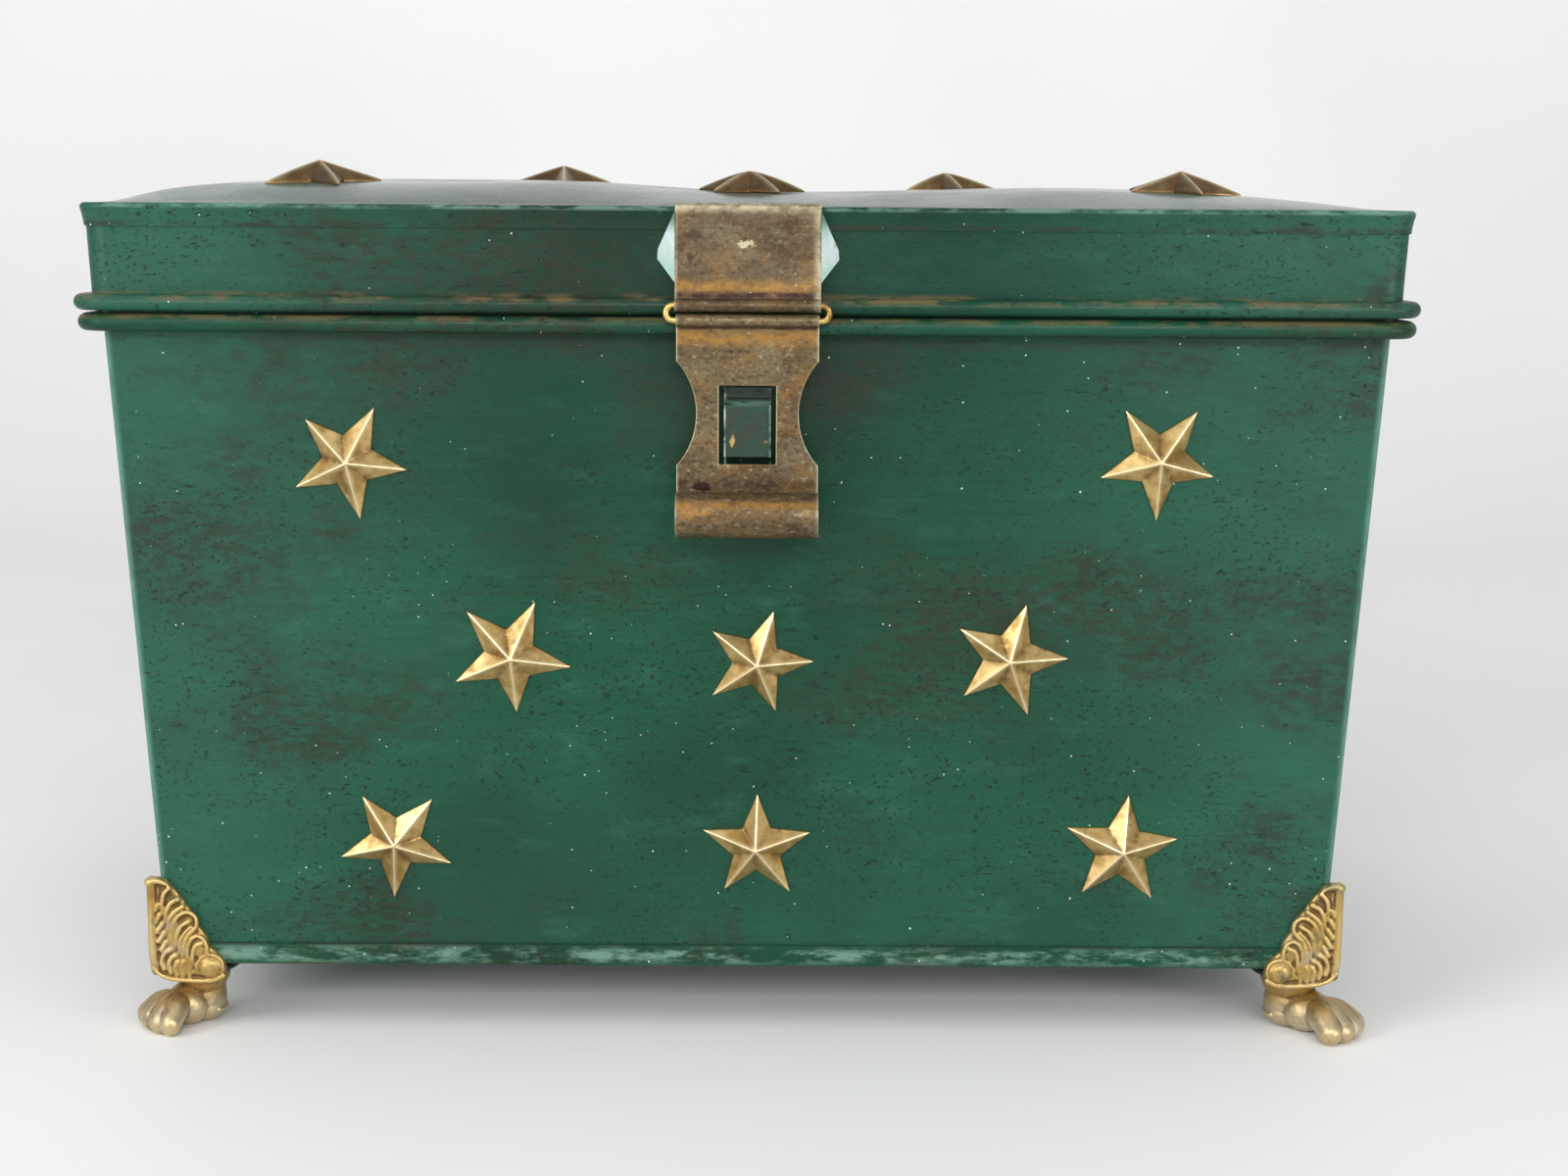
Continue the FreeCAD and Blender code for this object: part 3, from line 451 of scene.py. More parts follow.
# Gilded casting of the feet
GILT_GOLD = srgb(172, 142, 80)
GILT_DEEP = srgb(164, 130, 70)
GILT_HIGHLIGHT = srgb(208, 182, 122)
GILT_SOOT_AND_SHADE_BROWN = srgb(92, 68, 36)
GILT_GREY = srgb(160, 156, 132)
GILT_WORN = srgb(196, 188, 166)
GILT_GREEN = srgb(64, 88, 70)
SEAT_DARK = srgb(26, 46, 38)
WORN_AMOUNT = 0.75
SOOT_AMOUNT = 0.7
CREST_HIGHLIGHT_AMOUNT = 0.7
RECESS_SHADE_AMOUNT = 0.92
GREEN_AMOUNT = 0.6
# Heights between which the toes' wear sets in
TOE_WEAR = (13.0 * MM, 5.0 * MM)


def gilt_casting(name):
    g = Graph(name)
    g.color = g.mix(g.patch("gilt_cloud", 0.36, 0.64), GILT_GOLD, GILT_DEEP)
    worn = g.patch("gilt_worn", 0.5, 0.66)
    g.cover(GILT_GREY, worn, WORN_AMOUNT)
    g.cover(GILT_SOOT_AND_SHADE_BROWN, g.patch("gilt_soot", 0.52, 0.7, end=SOOT_AMOUNT))
    toes = g.times(g.band(g.axis("Z"), *TOE_WEAR), g.band(worn, 0.0, 1.0, start=0.55))
    g.cover(GILT_WORN, toes)
    cavity = g.attribute("cavity")
    # Crests lighter: painted highlight, partly rubbed gilt; recesses browner: grime, partly painted shade
    g.cover(GILT_HIGHLIGHT, g.band(cavity, 0.42, 0.16, end=CREST_HIGHLIGHT_AMOUNT))
    g.cover(GILT_SOOT_AND_SHADE_BROWN, g.band(cavity, 0.54, 0.8, end=RECESS_SHADE_AMOUNT))
    green = g.patch("gilt_green", 0.56, 0.7)
    g.cover(GILT_GREEN, green, GREEN_AMOUNT)
    g.cover(SEAT_DARK, g.attribute("seat"))
    g.set(Base_Color=g.color, Roughness=g.band(worn, 0.0, 1.0, 0.36, 0.56), Metallic=0.72)
    g.bump(g.pattern("gilt_grain"), strength=0.42, distance=0.35 * MM)
    return g.material


# Wire link, solder and the hidden rim wires
LINK_BRIGHT = srgb(206, 178, 108)
LINK_BROWN = srgb(128, 98, 52)
# Pale mint of the solder: painted reflection of the bright surroundings
SOLDER_REFLECTION_PALE = srgb(214, 230, 226)
SOLDER_REFLECTION_MINT = srgb(168, 204, 192)
SOLDER_GREEN = srgb(58, 104, 86)
SOLDER_STAIN = srgb(52, 92, 76)
WIRE_BRIGHT = srgb(150, 148, 142)
WIRE_DULL = srgb(112, 106, 98)
# Depths below the lip's top between which the solder thins out to the paint
SOLDER_THIN = (9.0 * MM, 3.0 * MM)
THIN_AMOUNT = 0.8
SOLDER_STAIN_AMOUNT = 0.6


def link_brass(name):
    g = Graph(name)
    g.color = g.mix(g.patch("link_cloud", 0.4, 0.62), LINK_BRIGHT, LINK_BROWN)
    g.set(Base_Color=g.color, Roughness=0.34, Metallic=0.9)
    g.bump(g.pattern("link_grain"), strength=0.2, distance=0.1 * MM)
    return g.material


def solder_with_painted_reflection(name):
    g = Graph(name)
    cloud = g.patch("solder_cloud", 0.36, 0.64)
    # Pale mint is painted reflection; green paint shows towards the lip's top
    g.color = g.mix(cloud, SOLDER_REFLECTION_PALE, SOLDER_REFLECTION_MINT)
    low, high = (lip_high.z - depth for depth in SOLDER_THIN)
    g.cover(SOLDER_GREEN, g.band(g.axis("Z"), low, high, end=THIN_AMOUNT))
    stain = g.patch("solder_stain", 0.58, 0.72)
    g.cover(SOLDER_STAIN, stain, SOLDER_STAIN_AMOUNT)
    g.set(Base_Color=g.color, Roughness=g.band(cloud, 0.0, 1.0, 0.26, 0.4), Metallic=0.35)
    g.bump(g.pattern("solder_grain"), strength=0.35, distance=0.3 * MM)
    return g.material


def rim_wire(name):
    g = Graph(name)
    g.color = g.mix(g.patch("wire_cloud", 0.4, 0.6), WIRE_BRIGHT, WIRE_DULL)
    g.set(Base_Color=g.color, Roughness=0.45, Metallic=1.0)
    return g.material


# Materials. Rubs, among them painted highlights and painted shade bands, are axis, middle, half width,
# amount and tint; lines are the same without a tint.
# Chips and spots are x, z, half width, half height, amount and tint. Half sizes are in millimetres.
BEAD_TOP = skirt_low.z + 4.4 * MM
STAPLE_BEND = staple_high.z - 4.2 * MM
LEAF_MIDDLE_X = (leaf_low.x + leaf_high.x) / 2
paint_wall = green_paint(
    "green_paint_wall",
    # Dark band just under the ledge: painted shade, partly glaze
    (("Z", ledge_low.z - 2.5 * MM, 3.5, 0.5, GLAZE_AND_SHADE_BROWN),),
    haze_and_shade=True,
    corners=True,
)
paint_lid = green_paint("green_paint_lid", (("Z", BEAD_TOP, 2.2, 0.75, RUB_BROWN),), haze_and_shade=True)
paint_top = green_paint("green_paint_top", gloss=0.1, sheen=0.6, coat=0.32, haze_and_shade=True)
paint_lip = green_paint("green_paint_lip", (
    ("Z", lip_high.z - 0.5 * MM, 1.3, 0.5, PALE_RUB_AND_HIGHLIGHT),
    # Dark band along the lip's foot: painted shade, partly glaze
    ("Z", lip_low.z + 0.6 * MM, 1.8, 0.8, GLAZE_AND_SHADE_BROWN),
), haze_and_shade=True)
paint_ledge = green_paint("green_paint_ledge", (
    ("Z", ledge_high.z - 0.6 * MM, 1.6, 0.7, RUB_BROWN),
    # Dark band along the ledge's underside: painted shade, partly glaze
    ("Z", ledge_low.z + 0.3 * MM, 1.4, 0.6, GLAZE_AND_SHADE_BROWN),
))
paint_hem = green_paint("green_paint_hem", (
    ("Z", (hem_low.z + hem_high.z) / 2, 4.5, 0.6, PALE_RUB_AND_HIGHLIGHT),
    ("Z", hem_high.z, 1.0, 0.8, GLAZE_AND_SHADE_BROWN),
    ("Z", hem_low.z, 1.0, 0.7, GLAZE_AND_SHADE_BROWN),
))
paint_staple = green_paint("green_paint_staple", (
    # Pale line on the top bend: painted highlight
    ("Z", STAPLE_BEND, 1.0, 0.9, PALE_RUB_AND_HIGHLIGHT),
    ("X", staple_low.x, 0.9, 0.9, DUST_PALE),
    ("X", staple_high.x, 0.9, 0.7, PALE_RUB_AND_HIGHLIGHT),
), gloss=0.16, sheen=0.4, chips=(
    (staple_low.x + 2.6 * MM, staple_low.z + 9.0 * MM, 0.7, 2.0, 0.9, CHIP_OCHRE),
    (staple_high.x - 1.6 * MM, staple_low.z + 8.5 * MM, 0.8, 0.6, 0.8, RUB_BROWN),
))
brass_leaf = aged_brass(
    "aged_brass_leaf",
    # The leaf is darkened as painted shade
    painted_shade=0.42,
    worn_and_lit_lines=(
        # Pale strip along the top: painted reflection of the light from above
        ("Z", leaf_high.z - 0.5 * MM, 3.4, 0.8),
        ("X", leaf_high.x, 3.0, 0.7),
        ("X", leaf_low.x, 1.2, 0.5),
    ),
    rust_lines=(("Z", leaf_low.z + 4.9 * MM, 1.7, 1.3),),
    ochre_lines=(("Z", leaf_low.z + 7.2 * MM, 3.4, 0.8),),
    spots=(
        (LEAF_MIDDLE_X - 0.6 * MM, leaf_high.z - 11.7 * MM, 2.4, 1.2, 0.7, BRASS_PALE),
        (leaf_low.x + 4.4 * MM, leaf_high.z - 15.6 * MM, 1.2, 1.0, 0.8, BRASS_RUST),
        (leaf_low.x + 5.2 * MM, leaf_high.z - 8.8 * MM, 2.4, 1.2, 0.6, BRASS_RUST),
        (leaf_high.x - 9.5 * MM, leaf_high.z - 6.2 * MM, 5.4, 2.2, 0.5, BRASS_RUST),
    ),
)
brass_flap = aged_brass(
    "aged_brass_flap",
    worn_and_lit_lines=(("X", flap_high.x, 1.2, 0.5), ("X", flap_low.x, 1.0, 0.4)),
    rust_lines=(
        ("Z", flap_high.z - 4.0 * MM, 1.0, 1.0),
        ("Z", flap_low.z + 15.5 * MM, 2.6, 0.7),
    ),
    ochre_lines=(
        ("Z", flap_high.z - 7.0 * MM, 4.0, 0.9),
        ("Z", flap_low.z + 10.5 * MM, 1.8, 0.8),
    ),
    spots=(
        (flap_low.x + 7.6 * MM, flap_low.z + 14.6 * MM, 2.8, 1.3, 0.95, BRASS_RUST),
        (flap_low.x + 4.0 * MM, flap_low.z + 8.6 * MM, 5.0, 2.0, 0.5, BRASS_OCHRE),
    ),
)
brass_hinge = aged_brass("aged_brass_hinge")
brass_star = star_brass("star_brass_front", 0.0, STAR_GOLD, STAR_OLIVE)
# Lid stars: darker copy of the star brass as painted shade
brass_lid_star = star_brass("star_brass_lid", LID_STAR_AGE, LID_STAR_SHADED_BROWN, LID_STAR_SHADED_DARK)
gilt = gilt_casting("gilt_casting")
brass_link = link_brass("link_brass")
solder_reflection = solder_with_painted_reflection("solder")
wire = rim_wire("rim_wire")

# The first key that is part of a node's name gives its material
MATERIALS = {
    "_panel": paint_wall,
    "bottom_sheet": paint_wall,
    "bottom_hem": paint_hem,
    "rim_ledge": paint_ledge,
    "rim_wire": wire,
    "lid_top": paint_top,
    "lid_skirt": paint_lid,
    "lid_lip": paint_lip,
    "hasp_leaf": brass_leaf,
    "hasp_flap": brass_flap,
    "hasp_link": brass_link,
    "hasp_staple": paint_staple,
    "hasp_solder": solder_reflection,
    "hinge": brass_hinge,
    "front_star": brass_star,
    "lid_star": brass_lid_star,
    "foot": gilt,
}
# Width in millimetres of the bevel that softens the cut edges of sheet pieces
SHEET_BEVELS = {"hasp_leaf": 0.3, "hasp_flap": 0.35, "hasp_staple": 0.3, "hinge": 0.25, "hasp_solder": 0.8}
SHEET_BEVEL_ANGLE = 40.0
BEVEL_SEGMENTS = 2
WELD_REACH = 0.002 * MM


def add_object(name, data):
    made = bpy.data.objects.new(name, data)
    bpy.context.scene.collection.objects.link(made)
    return made


def object_from(mesh, name):
    data = bpy.data.meshes.new(name)
    mesh.to_mesh(data)
    mesh.free()
    return add_object(name, data)


def bevel_edges(piece, width, degrees):
    bevel = piece.modifiers.new("bevel", "BEVEL")
    bevel.width = width
    bevel.segments = BEVEL_SEGMENTS
    bevel.limit_method = "ANGLE"
    bevel.angle_limit = math.radians(degrees)


def dress_nodes():
    for name, piece in nodes.items():
        for key, material in MATERIALS.items():
            if key in name:
                piece.data.materials.clear()
                piece.data.materials.append(material)
                break
        for key, width in SHEET_BEVELS.items():
            if key in name and "pin" not in name:
                weld = piece.modifiers.new("weld", "WELD")
                weld.merge_threshold = WELD_REACH
                bevel_edges(piece, width * MM, SHEET_BEVEL_ANGLE)


# Stage: a floor that sweeps up into a backdrop, in metres
FLOOR_PALE = srgb(238, 237, 236)
FLOOR_GREY = srgb(232, 232, 231)
FLOOR_ROUGHNESS = 0.75
FLOOR_HALF_WIDTH = 2.6
FLOOR_FRONT = -2.4
FLOOR_BACK = 0.9
SWEEP_RADIUS = 0.6
SWEEP_STEPS = 12
BACKDROP_TOP = 2.6


def build_stage():
    profile = [(FLOOR_FRONT, 0.0), (FLOOR_BACK, 0.0)]
    for step in range(1, SWEEP_STEPS + 1):
        turn = math.radians(90.0 * step / SWEEP_STEPS)
        rise = SWEEP_RADIUS * (1.0 - math.cos(turn))
        profile.append((FLOOR_BACK + SWEEP_RADIUS * math.sin(turn), rise))
    profile.append((FLOOR_BACK + SWEEP_RADIUS, BACKDROP_TOP))
    mesh = bmesh.new()
    rows = []
    for x in (-FLOOR_HALF_WIDTH, FLOOR_HALF_WIDTH):
        rows.append([mesh.verts.new((x, y, z)) for y, z in profile])
    left, right = rows
    for step in range(len(profile) - 1):
        mesh.faces.new((left[step], right[step], right[step + 1], left[step + 1]))
    floor = object_from(mesh, "floor")
    for face in floor.data.polygons:
        face.use_smooth = True
    g = Graph("floor_paper")
    tone = g.patch("floor_tone", 0.3, 0.7)
    g.set(Base_Color=g.mix(tone, FLOOR_PALE, FLOOR_GREY), Roughness=FLOOR_ROUGHNESS)
    floor.data.materials.append(g.material)


# Area lights: name, place and aim in metres, width and height, power in watts
LIGHTS = (
    ("key", (-1.5, -1.2, 1.2), (0.0, 0.0, 0.12), (0.9, 0.9), 14.0),
    ("front", (0.15, -2.2, 1.05), (0.0, -0.1, 0.0), (2.0, 0.5), 30.0),
    ("top", (0.1, -0.5, 1.9), (0.0, -0.1, 0.0), (2.6, 1.4), 9.0),
    ("back", (0.0, 0.5, 1.9), (0.0, 0.7, 0.3), (2.4, 0.8), 1.0),
    ("left", (-1.7, -1.8, 0.35), (-0.1, -0.1, 0.02), (0.9, 0.5), 12.0),
    ("right", (1.7, -1.8, 0.35), (0.1, -0.1, 0.02), (0.9, 0.5), 14.0),
)
SKY_COLOR = (0.92, 0.94, 0.96, 1.0)
SKY_STRENGTH = 0.45


def build_lights():
    for name, place, target, size, power in LIGHTS:
        lamp = bpy.data.lights.new(name, "AREA")
        lamp.shape = "RECTANGLE"
        lamp.size, lamp.size_y = size
        lamp.energy = power
        holder = add_object(name, lamp)
        holder.location = place
        aim = Vector(target) - Vector(place)
        holder.rotation_euler = aim.to_track_quat("-Z", "Y").to_euler()
    world = bpy.data.worlds.new("studio")
    world.use_nodes = True
    sky = world.node_tree.nodes["Background"]
    sky.inputs["Color"].default_value = SKY_COLOR
    sky.inputs["Strength"].default_value = SKY_STRENGTH
    bpy.context.scene.world = world


def build_camera():
    pitch = math.radians(CAMERA_PITCH)
    yaw = math.radians(CAMERA_YAW)
    roll = math.radians(CAMERA_ROLL)
    level = math.cos(pitch)
    ahead = Vector((math.sin(yaw) * level, math.cos(yaw) * level, -math.sin(pitch)))
    right = Vector((math.cos(yaw), -math.sin(yaw), 0.0))
    up = right.cross(ahead)
    side = right * math.cos(roll) + up * math.sin(roll)
    top = up * math.cos(roll) - right * math.sin(roll)
    data = bpy.data.cameras.new("camera")
    data.sensor_fit = "HORIZONTAL"
    data.sensor_width = SENSOR_WIDTH
    data.lens = FOCAL_PIXELS / IMAGE_WIDTH * SENSOR_WIDTH
    camera = add_object("camera", data)
    camera.matrix_world = Matrix((side, top, -ahead)).transposed().to_4x4()
    camera.location = CAMERA_PLACE
    bpy.context.scene.camera = camera


# Stars: stamped facets with a little hand-made irregularity, set on the CAD stars' places
FRONT_STARS = 8
STAR_POINTS = 5
STAR_STEPS = 9
STAR_RIM = 0.6 * MM
STAR_INNER_SHARE = 0.44
STAR_JITTER_SHARE = 0.035
STAR_TURN_SHARE = 0.5
# Spread of a peak's place, in millimetres
PEAK_JITTER = 0.3
STAR_DENT = 0.14 * MM
STAR_DENT_SCALE = 160.0
STAR_WELD = 0.004 * MM
STAR_BEVEL = 0.3 * MM
STAR_BEVEL_ANGLE = 14.0
POINT_DIGITS = 6
RIDGE_HIGHLIGHT_REACH = 1.8 * MM
CREASE_SHADE_REACH = 2.6 * MM
LID_STAR_SEED = 20
# Power by which a facet bows outward between its tip and its peak
FRONT_STAR_BOW = 1.0
LID_STAR_BOWS = (1.0, 1.1, 1.45, 1.4, 1.0)
# Share of the gap over the crowned lid that each star's arms bend down by
LID_STAR_DRAPES = (1.0, 1.0, 0.8, 1.0, 1.0)
DRAPE_SEARCH = 3.0 * MM
DRAPE_LIMIT = 4.0 * MM


def star_frame(name, outward):
    # Foot point, normal, direction of one tip, radius and rise of a CAD star
    vertices = np.array([v.co for v in nodes[name].data.vertices])
    points = np.unique(np.round(vertices, POINT_DIGITS), axis=0)
    middle = points.mean(axis=0)
    normal = np.linalg.svd(points - middle)[2][2]
    if normal @ np.array(outward) < 0.0:
        normal = -normal
    heights = (points - middle) @ normal
    rise = heights.max() - heights.min()
    foot = points[heights.argmax()] - normal * rise
    flat = (points - foot) - np.outer((points - foot) @ normal, normal)
    reach = np.linalg.norm(flat, axis=1)
    tip = flat[reach.argmax()] / reach.max()
    return Vector(foot), Vector(normal), Vector(tip), reach.max(), rise


def star_outline(rng, radius):
    # Tips and inner corners in turn, and the peak, each a little off its place
    rim = []
    for step in range(2 * STAR_POINTS):
        share = 1.0 if step % 2 == 0 else STAR_INNER_SHARE
        spread = 1.0 - abs(rng.normal(0.0, STAR_JITTER_SHARE))
        turn = math.pi * step / STAR_POINTS + rng.normal(0.0, STAR_JITTER_SHARE) * STAR_TURN_SHARE
        rim.append(Vector((math.cos(turn), math.sin(turn), 0.0)) * (radius * share * spread))
    peak = Vector((rng.normal(0.0, PEAK_JITTER) * MM, rng.normal(0.0, PEAK_JITTER) * MM, 0.0))
    return rim, peak


def facet_points(corners):
    # Barycentric grid of one facet between peak, tip and inner corner, with the weights
    rows = []
    for first in range(STAR_STEPS + 1):
        row = []
        for second in range(STAR_STEPS + 1 - first):
            weights = (1.0 - (first + second) / STAR_STEPS, first / STAR_STEPS, second / STAR_STEPS)
            place = sum((corner * weight for corner, weight in zip(corners, weights)), Vector())
            row.append((place, weights))
        rows.append(row)
    return rows


def line_distance(point, start, end):
    along = (end - start).normalized()
    return ((point - start) - along * (point - start).dot(along)).length


def join_facet(mesh, grid):
    for first in range(STAR_STEPS):
        near, far = grid[first], grid[first + 1]
        for second in range(STAR_STEPS - first):
            mesh.faces.new((near[second], far[second], near[second + 1]))
            if second < STAR_STEPS - first - 1:
                mesh.faces.new((far[second], far[second + 1], near[second + 1]))


def add_star_edge(mesh, grid, normal, crease_shade_layer):
    # Thin rim down to the surface under the star
    edge = [grid[first][STAR_STEPS - first] for first in range(STAR_STEPS + 1)]
    low = []
    for vertex in edge:
        under = mesh.verts.new(vertex.co - normal * STAR_RIM)
        # The rim's foot takes the full painted shade
        under[crease_shade_layer] = 1.0
        low.append(under)
    for place in range(STAR_STEPS):
        mesh.faces.new((edge[place], edge[place + 1], low[place + 1], low[place]))


def build_star(name, outward, material, body, seed, bow, drape=0.0, sheet=None):
    foot, normal, tip, radius, rise = star_frame(name, outward)
    across = normal.cross(tip)
    rim, peak = star_outline(np.random.default_rng(seed), radius)
    mesh = bmesh.new()
    ridge_highlight_layer = mesh.verts.layers.float.new("ridge")
    crease_shade_layer = mesh.verts.layers.float.new("crease_grime_and_shade")

    def raised(flat, lift):
        return foot + tip * flat.x + across * flat.y + normal * lift

    def gap_under(flat):
        if sheet is None:
            return 0.0
        distance = sheet.ray_cast(raised(flat, DRAPE_SEARCH), -normal)[3]
        return 0.0 if distance is None else min(max(distance - DRAPE_SEARCH, 0.0), DRAPE_LIMIT)

    for step in range(2 * STAR_POINTS):
        ends = (rim[step], rim[(step + 1) % (2 * STAR_POINTS)])
        point, inner = ends if step % 2 == 0 else ends[::-1]
        inner_span = line_distance(inner, peak, point)
        point_span = line_distance(point, peak, inner)
        grid = []
        for row in facet_points((peak, point, inner)):
            made = []
            for place, (top, toward_tip, toward_inner) in row:
                lift = STAR_RIM + (rise - STAR_RIM) * (1.0 - (1.0 - top) ** bow)
                lift -= gap_under(place) * (1.0 - top) * drape
                # Dents are full at the facet's middle and fade out at its edges
                free = min(top, toward_tip, toward_inner) * 3.0
                wobble = noise.noise(Vector((place.x, place.y, seed * MM)) * STAR_DENT_SCALE)
                vertex = mesh.verts.new(raised(place, lift + free * wobble * STAR_DENT))
                # Share of the painted highlight along the ridge to the tip
                vertex[ridge_highlight_layer] = max(0.0, 1.0 - toward_inner * inner_span / RIDGE_HIGHLIGHT_REACH)
                vertex[crease_shade_layer] = max(0.0, 1.0 - toward_tip * point_span / CREASE_SHADE_REACH)
                made.append(vertex)
            grid.append(made)
        join_facet(mesh, grid)
        add_star_edge(mesh, grid, normal, crease_shade_layer)
    bmesh.ops.remove_doubles(mesh, verts=mesh.verts, dist=STAR_WELD)
    bmesh.ops.recalc_face_normals(mesh, faces=mesh.faces)
    if sum((f.normal for f in mesh.faces), Vector()).dot(normal) < 0.0:
        bmesh.ops.reverse_faces(mesh, faces=mesh.faces)
    piece = object_from(mesh, name + "_look")
    piece.data.materials.append(material)
    bevel_edges(piece, STAR_BEVEL, STAR_BEVEL_ANGLE)
    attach(piece, body)
    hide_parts(name)


def build_stars():
    for number in range(1, FRONT_STARS + 1):
        name = "front_star_%d" % number
        build_star(name, (0.0, -1.0, 0.0), brass_star, "box", number, FRONT_STAR_BOW)
    lid = nodes["lid_top"].data
    sheet = BVHTree.FromPolygons([v.co for v in lid.vertices], [p.vertices for p in lid.polygons])
    for number, (bow, drape) in enumerate(zip(LID_STAR_BOWS, LID_STAR_DRAPES), 1):
        name = "lid_star_%d" % number
        seed = LID_STAR_SEED + number
        build_star(name, (0.0, 0.0, 1.0), brass_lid_star, "lid", seed, bow, drape, sheet)


# Feet: sculpted in millimetres for one corner, outward along x and y, heights from the floor
RIDGE_STAND = 4.7
WING_STAND = 3.0
WING_BACK_LEAN = 0.05
BODY_FOOT = 21.5
# The web bows outward near the ridge: amount, inset of the middle, spread
WING_BOW = (0.7, 3.0, 7.0)
WEB_SET_BACK = 0.4
# Outline of a wing's web: distance inward from the ridge, height
WING_WEB = (
    (1.2, 21.8), (1.2, 49.6), (6.0, 49.2), (8.4, 46.0), (10.9, 42.8), (11.8, 41.0), (13.6, 38.9),
    (15.4, 36.6), (15.9, 33.6), (17.9, 30.6), (18.8, 27.4), (21.2, 25.3), (23.1, 23.0), (23.6, 20.4),
    (23.1, 18.2), (19.4, 16.5), (12.0, 16.4), (8.6, 16.8), (5.2, 17.9), (2.5, 19.6),
)
# Feather strokes: points inward from the ridge and up, radius at the root and at the head
FEATHERS = (
    (((4.7, 38.4), (4.7, 41.7), (5.3, 44.6), (7.0, 46.6)), 0.6, 0.8),
    (((5.6, 36.2), (6.0, 39.1), (7.3, 41.7), (9.6, 43.0)), 0.65, 0.95),
    (((6.2, 33.2), (6.8, 36.4), (8.5, 38.9), (11.0, 40.7)), 0.65, 0.8),
    (((7.0, 30.0), (7.3, 33.2), (8.6, 36.4), (10.8, 38.4), (13.0, 38.6), (14.8, 37.1),
      (15.1, 34.7), (13.9, 32.8), (12.3, 31.0), (11.2, 28.4), (10.6, 24.6)), 0.65, 0.65),
    (((8.5, 28.4), (8.9, 31.2), (10.4, 34.3), (12.6, 35.8)), 0.6, 0.85),
    (((9.6, 25.6), (9.8, 28.6), (10.9, 31.4), (13.2, 33.9)), 0.5, 0.55),
    (((11.9, 23.8), (12.0, 26.9), (13.1, 29.7), (14.9, 31.0), (16.9, 30.2), (18.0, 27.6),
      (17.9, 25.4)), 0.6, 0.65),
    (((13.4, 22.6), (13.7, 25.8), (14.6, 27.9), (16.0, 28.6)), 0.6, 0.95),
    (((14.6, 20.2), (15.0, 22.2), (16.8, 24.2), (19.4, 24.9), (21.8, 23.9), (22.9, 21.6),
      (22.4, 19.2)), 0.6, 0.65),
    (((16.2, 19.0), (16.8, 21.2), (18.8, 22.7), (20.9, 21.7), (20.8, 19.7), (19.2, 19.2)), 0.6, 0.75),
    (((4.6, 20.6), (4.1, 23.2), (5.0, 25.6), (6.6, 26.8)), 0.75, 0.95),
    (((6.7, 19.4), (6.2, 22.0), (7.0, 24.0), (8.4, 25.0)), 0.75, 0.9),
    (((8.6, 18.6), (8.2, 20.8), (8.9, 22.8)), 0.7, 0.85),
    (((10.4, 18.2), (10.1, 20.8), (10.8, 22.9)), 0.7, 0.8),
    (((12.5, 18.0), (12.3, 20.2), (13.0, 21.6)), 0.6, 0.7),
    (((1.5, 21.0), (2.9, 19.1), (5.5, 17.7), (9.0, 16.9), (14.0, 16.6), (19.4, 16.7),
      (22.9, 18.3)), 0.7, 0.75),
    (((0.9, 48.6), (3.5, 49.0), (6.4, 47.8)), 1.4, 0.6),
)
FEATHER_STEPS = 6
# Leaf-shaped scales beside the ridge: place and half length of a slanted stroke
SCALES = (
    ((3.1, 40.6), 1.1),
    ((3.3, 37.1), 1.5),
    ((3.8, 34.0), 1.5),
    ((4.3, 31.0), 1.6),
    ((4.9, 28.2), 1.5),
)
SCALE_SLANT = 32.0
SCALE_RADII = (0.95, 0.7)
# Ridge between the wings, curved in under the body at its foot: bend inward, height
SPINE = ((0.0, 48.6), (0.0, 38.0), (0.0, 27.0), (0.25, 22.6), (1.5, 19.8), (3.9, 18.2), (7.0, 17.4))
SPINE_RADIUS = 1.5
SPINE_STEPS = 5
# Swellings of the wing: place, half sizes across, up and out
SWELLS = (
    ((19.0, 20.9), 3.8, 3.6, 1.7),
    ((15.8, 26.4), 1.9, 2.8, 0.5),
    ((9.0, 21.4), 5.4, 4.4, 0.5),
    ((6.5, 32.0), 3.2, 9.0, 0.4),
)
# Seat under the body's corner and knee between the wings: place on x and y, height, half sizes
SEAT_BALLS = ((-9.0, 19.5, 12.6, 3.4), (-7.0, 18.6, 9.8, 3.2))
# Paw: place on the diagonal, half sizes along, across and up, height of the middle
PAW_BLOBS = (
    (-12.4, (7.5, 7.6, 5.4), 5.2),
    (-11.8, (7.2, 7.4, 6.0), 9.4),
    (-5.5, (8.0, 7.8, 6.8), 6.6),
)
# Ankle: place on the diagonal and height, radius
ANKLE = (((-12.0, 17.4), 9.4), ((-12.2, 14.6), 8.0), ((-12.4, 11.4), 7.3), ((-12.4, 7.0), 7.5))
ANKLE_REACH = ANKLE[-1][0][0]
# Toes: turns from the diagonal, root's place, root's height and radius,
# then distance from the root, height and radius of the joint, the tip and the knuckle
TOE_TURNS = (-28.0, -9.5, 9.5, 28.0)
TOE_ROOT = -4.5
TOE_ROOT_SIZE = (7.2, 4.0)
TOE_JOINT = (8.0, 6.9, 4.5)
TOE_TIP = (13.6, 3.9, 4.0)
KNUCKLE = (5.2, 8.6, 2.8)
TOE_STEPS = 6
# Raised edge of the sole round the heel: radius about the ankle, height, thickness, half angle
HEEL_BAND = (7.3, 4.4, 0.7, 80.0)
BAND_STEPS = 20
# Share of its length that each paw keeps beyond the ankle, since the castings were bent by hand
PAW_SHARES = {
    "front_left_foot": 0.8,
    "front_right_foot": 1.0,
    "back_left_foot": 0.95,
    "back_right_foot": 0.9,
}
# The shortening fades out over this height below the paw's top
PAW_TOP = 15.5
PAW_FADE = 2.0
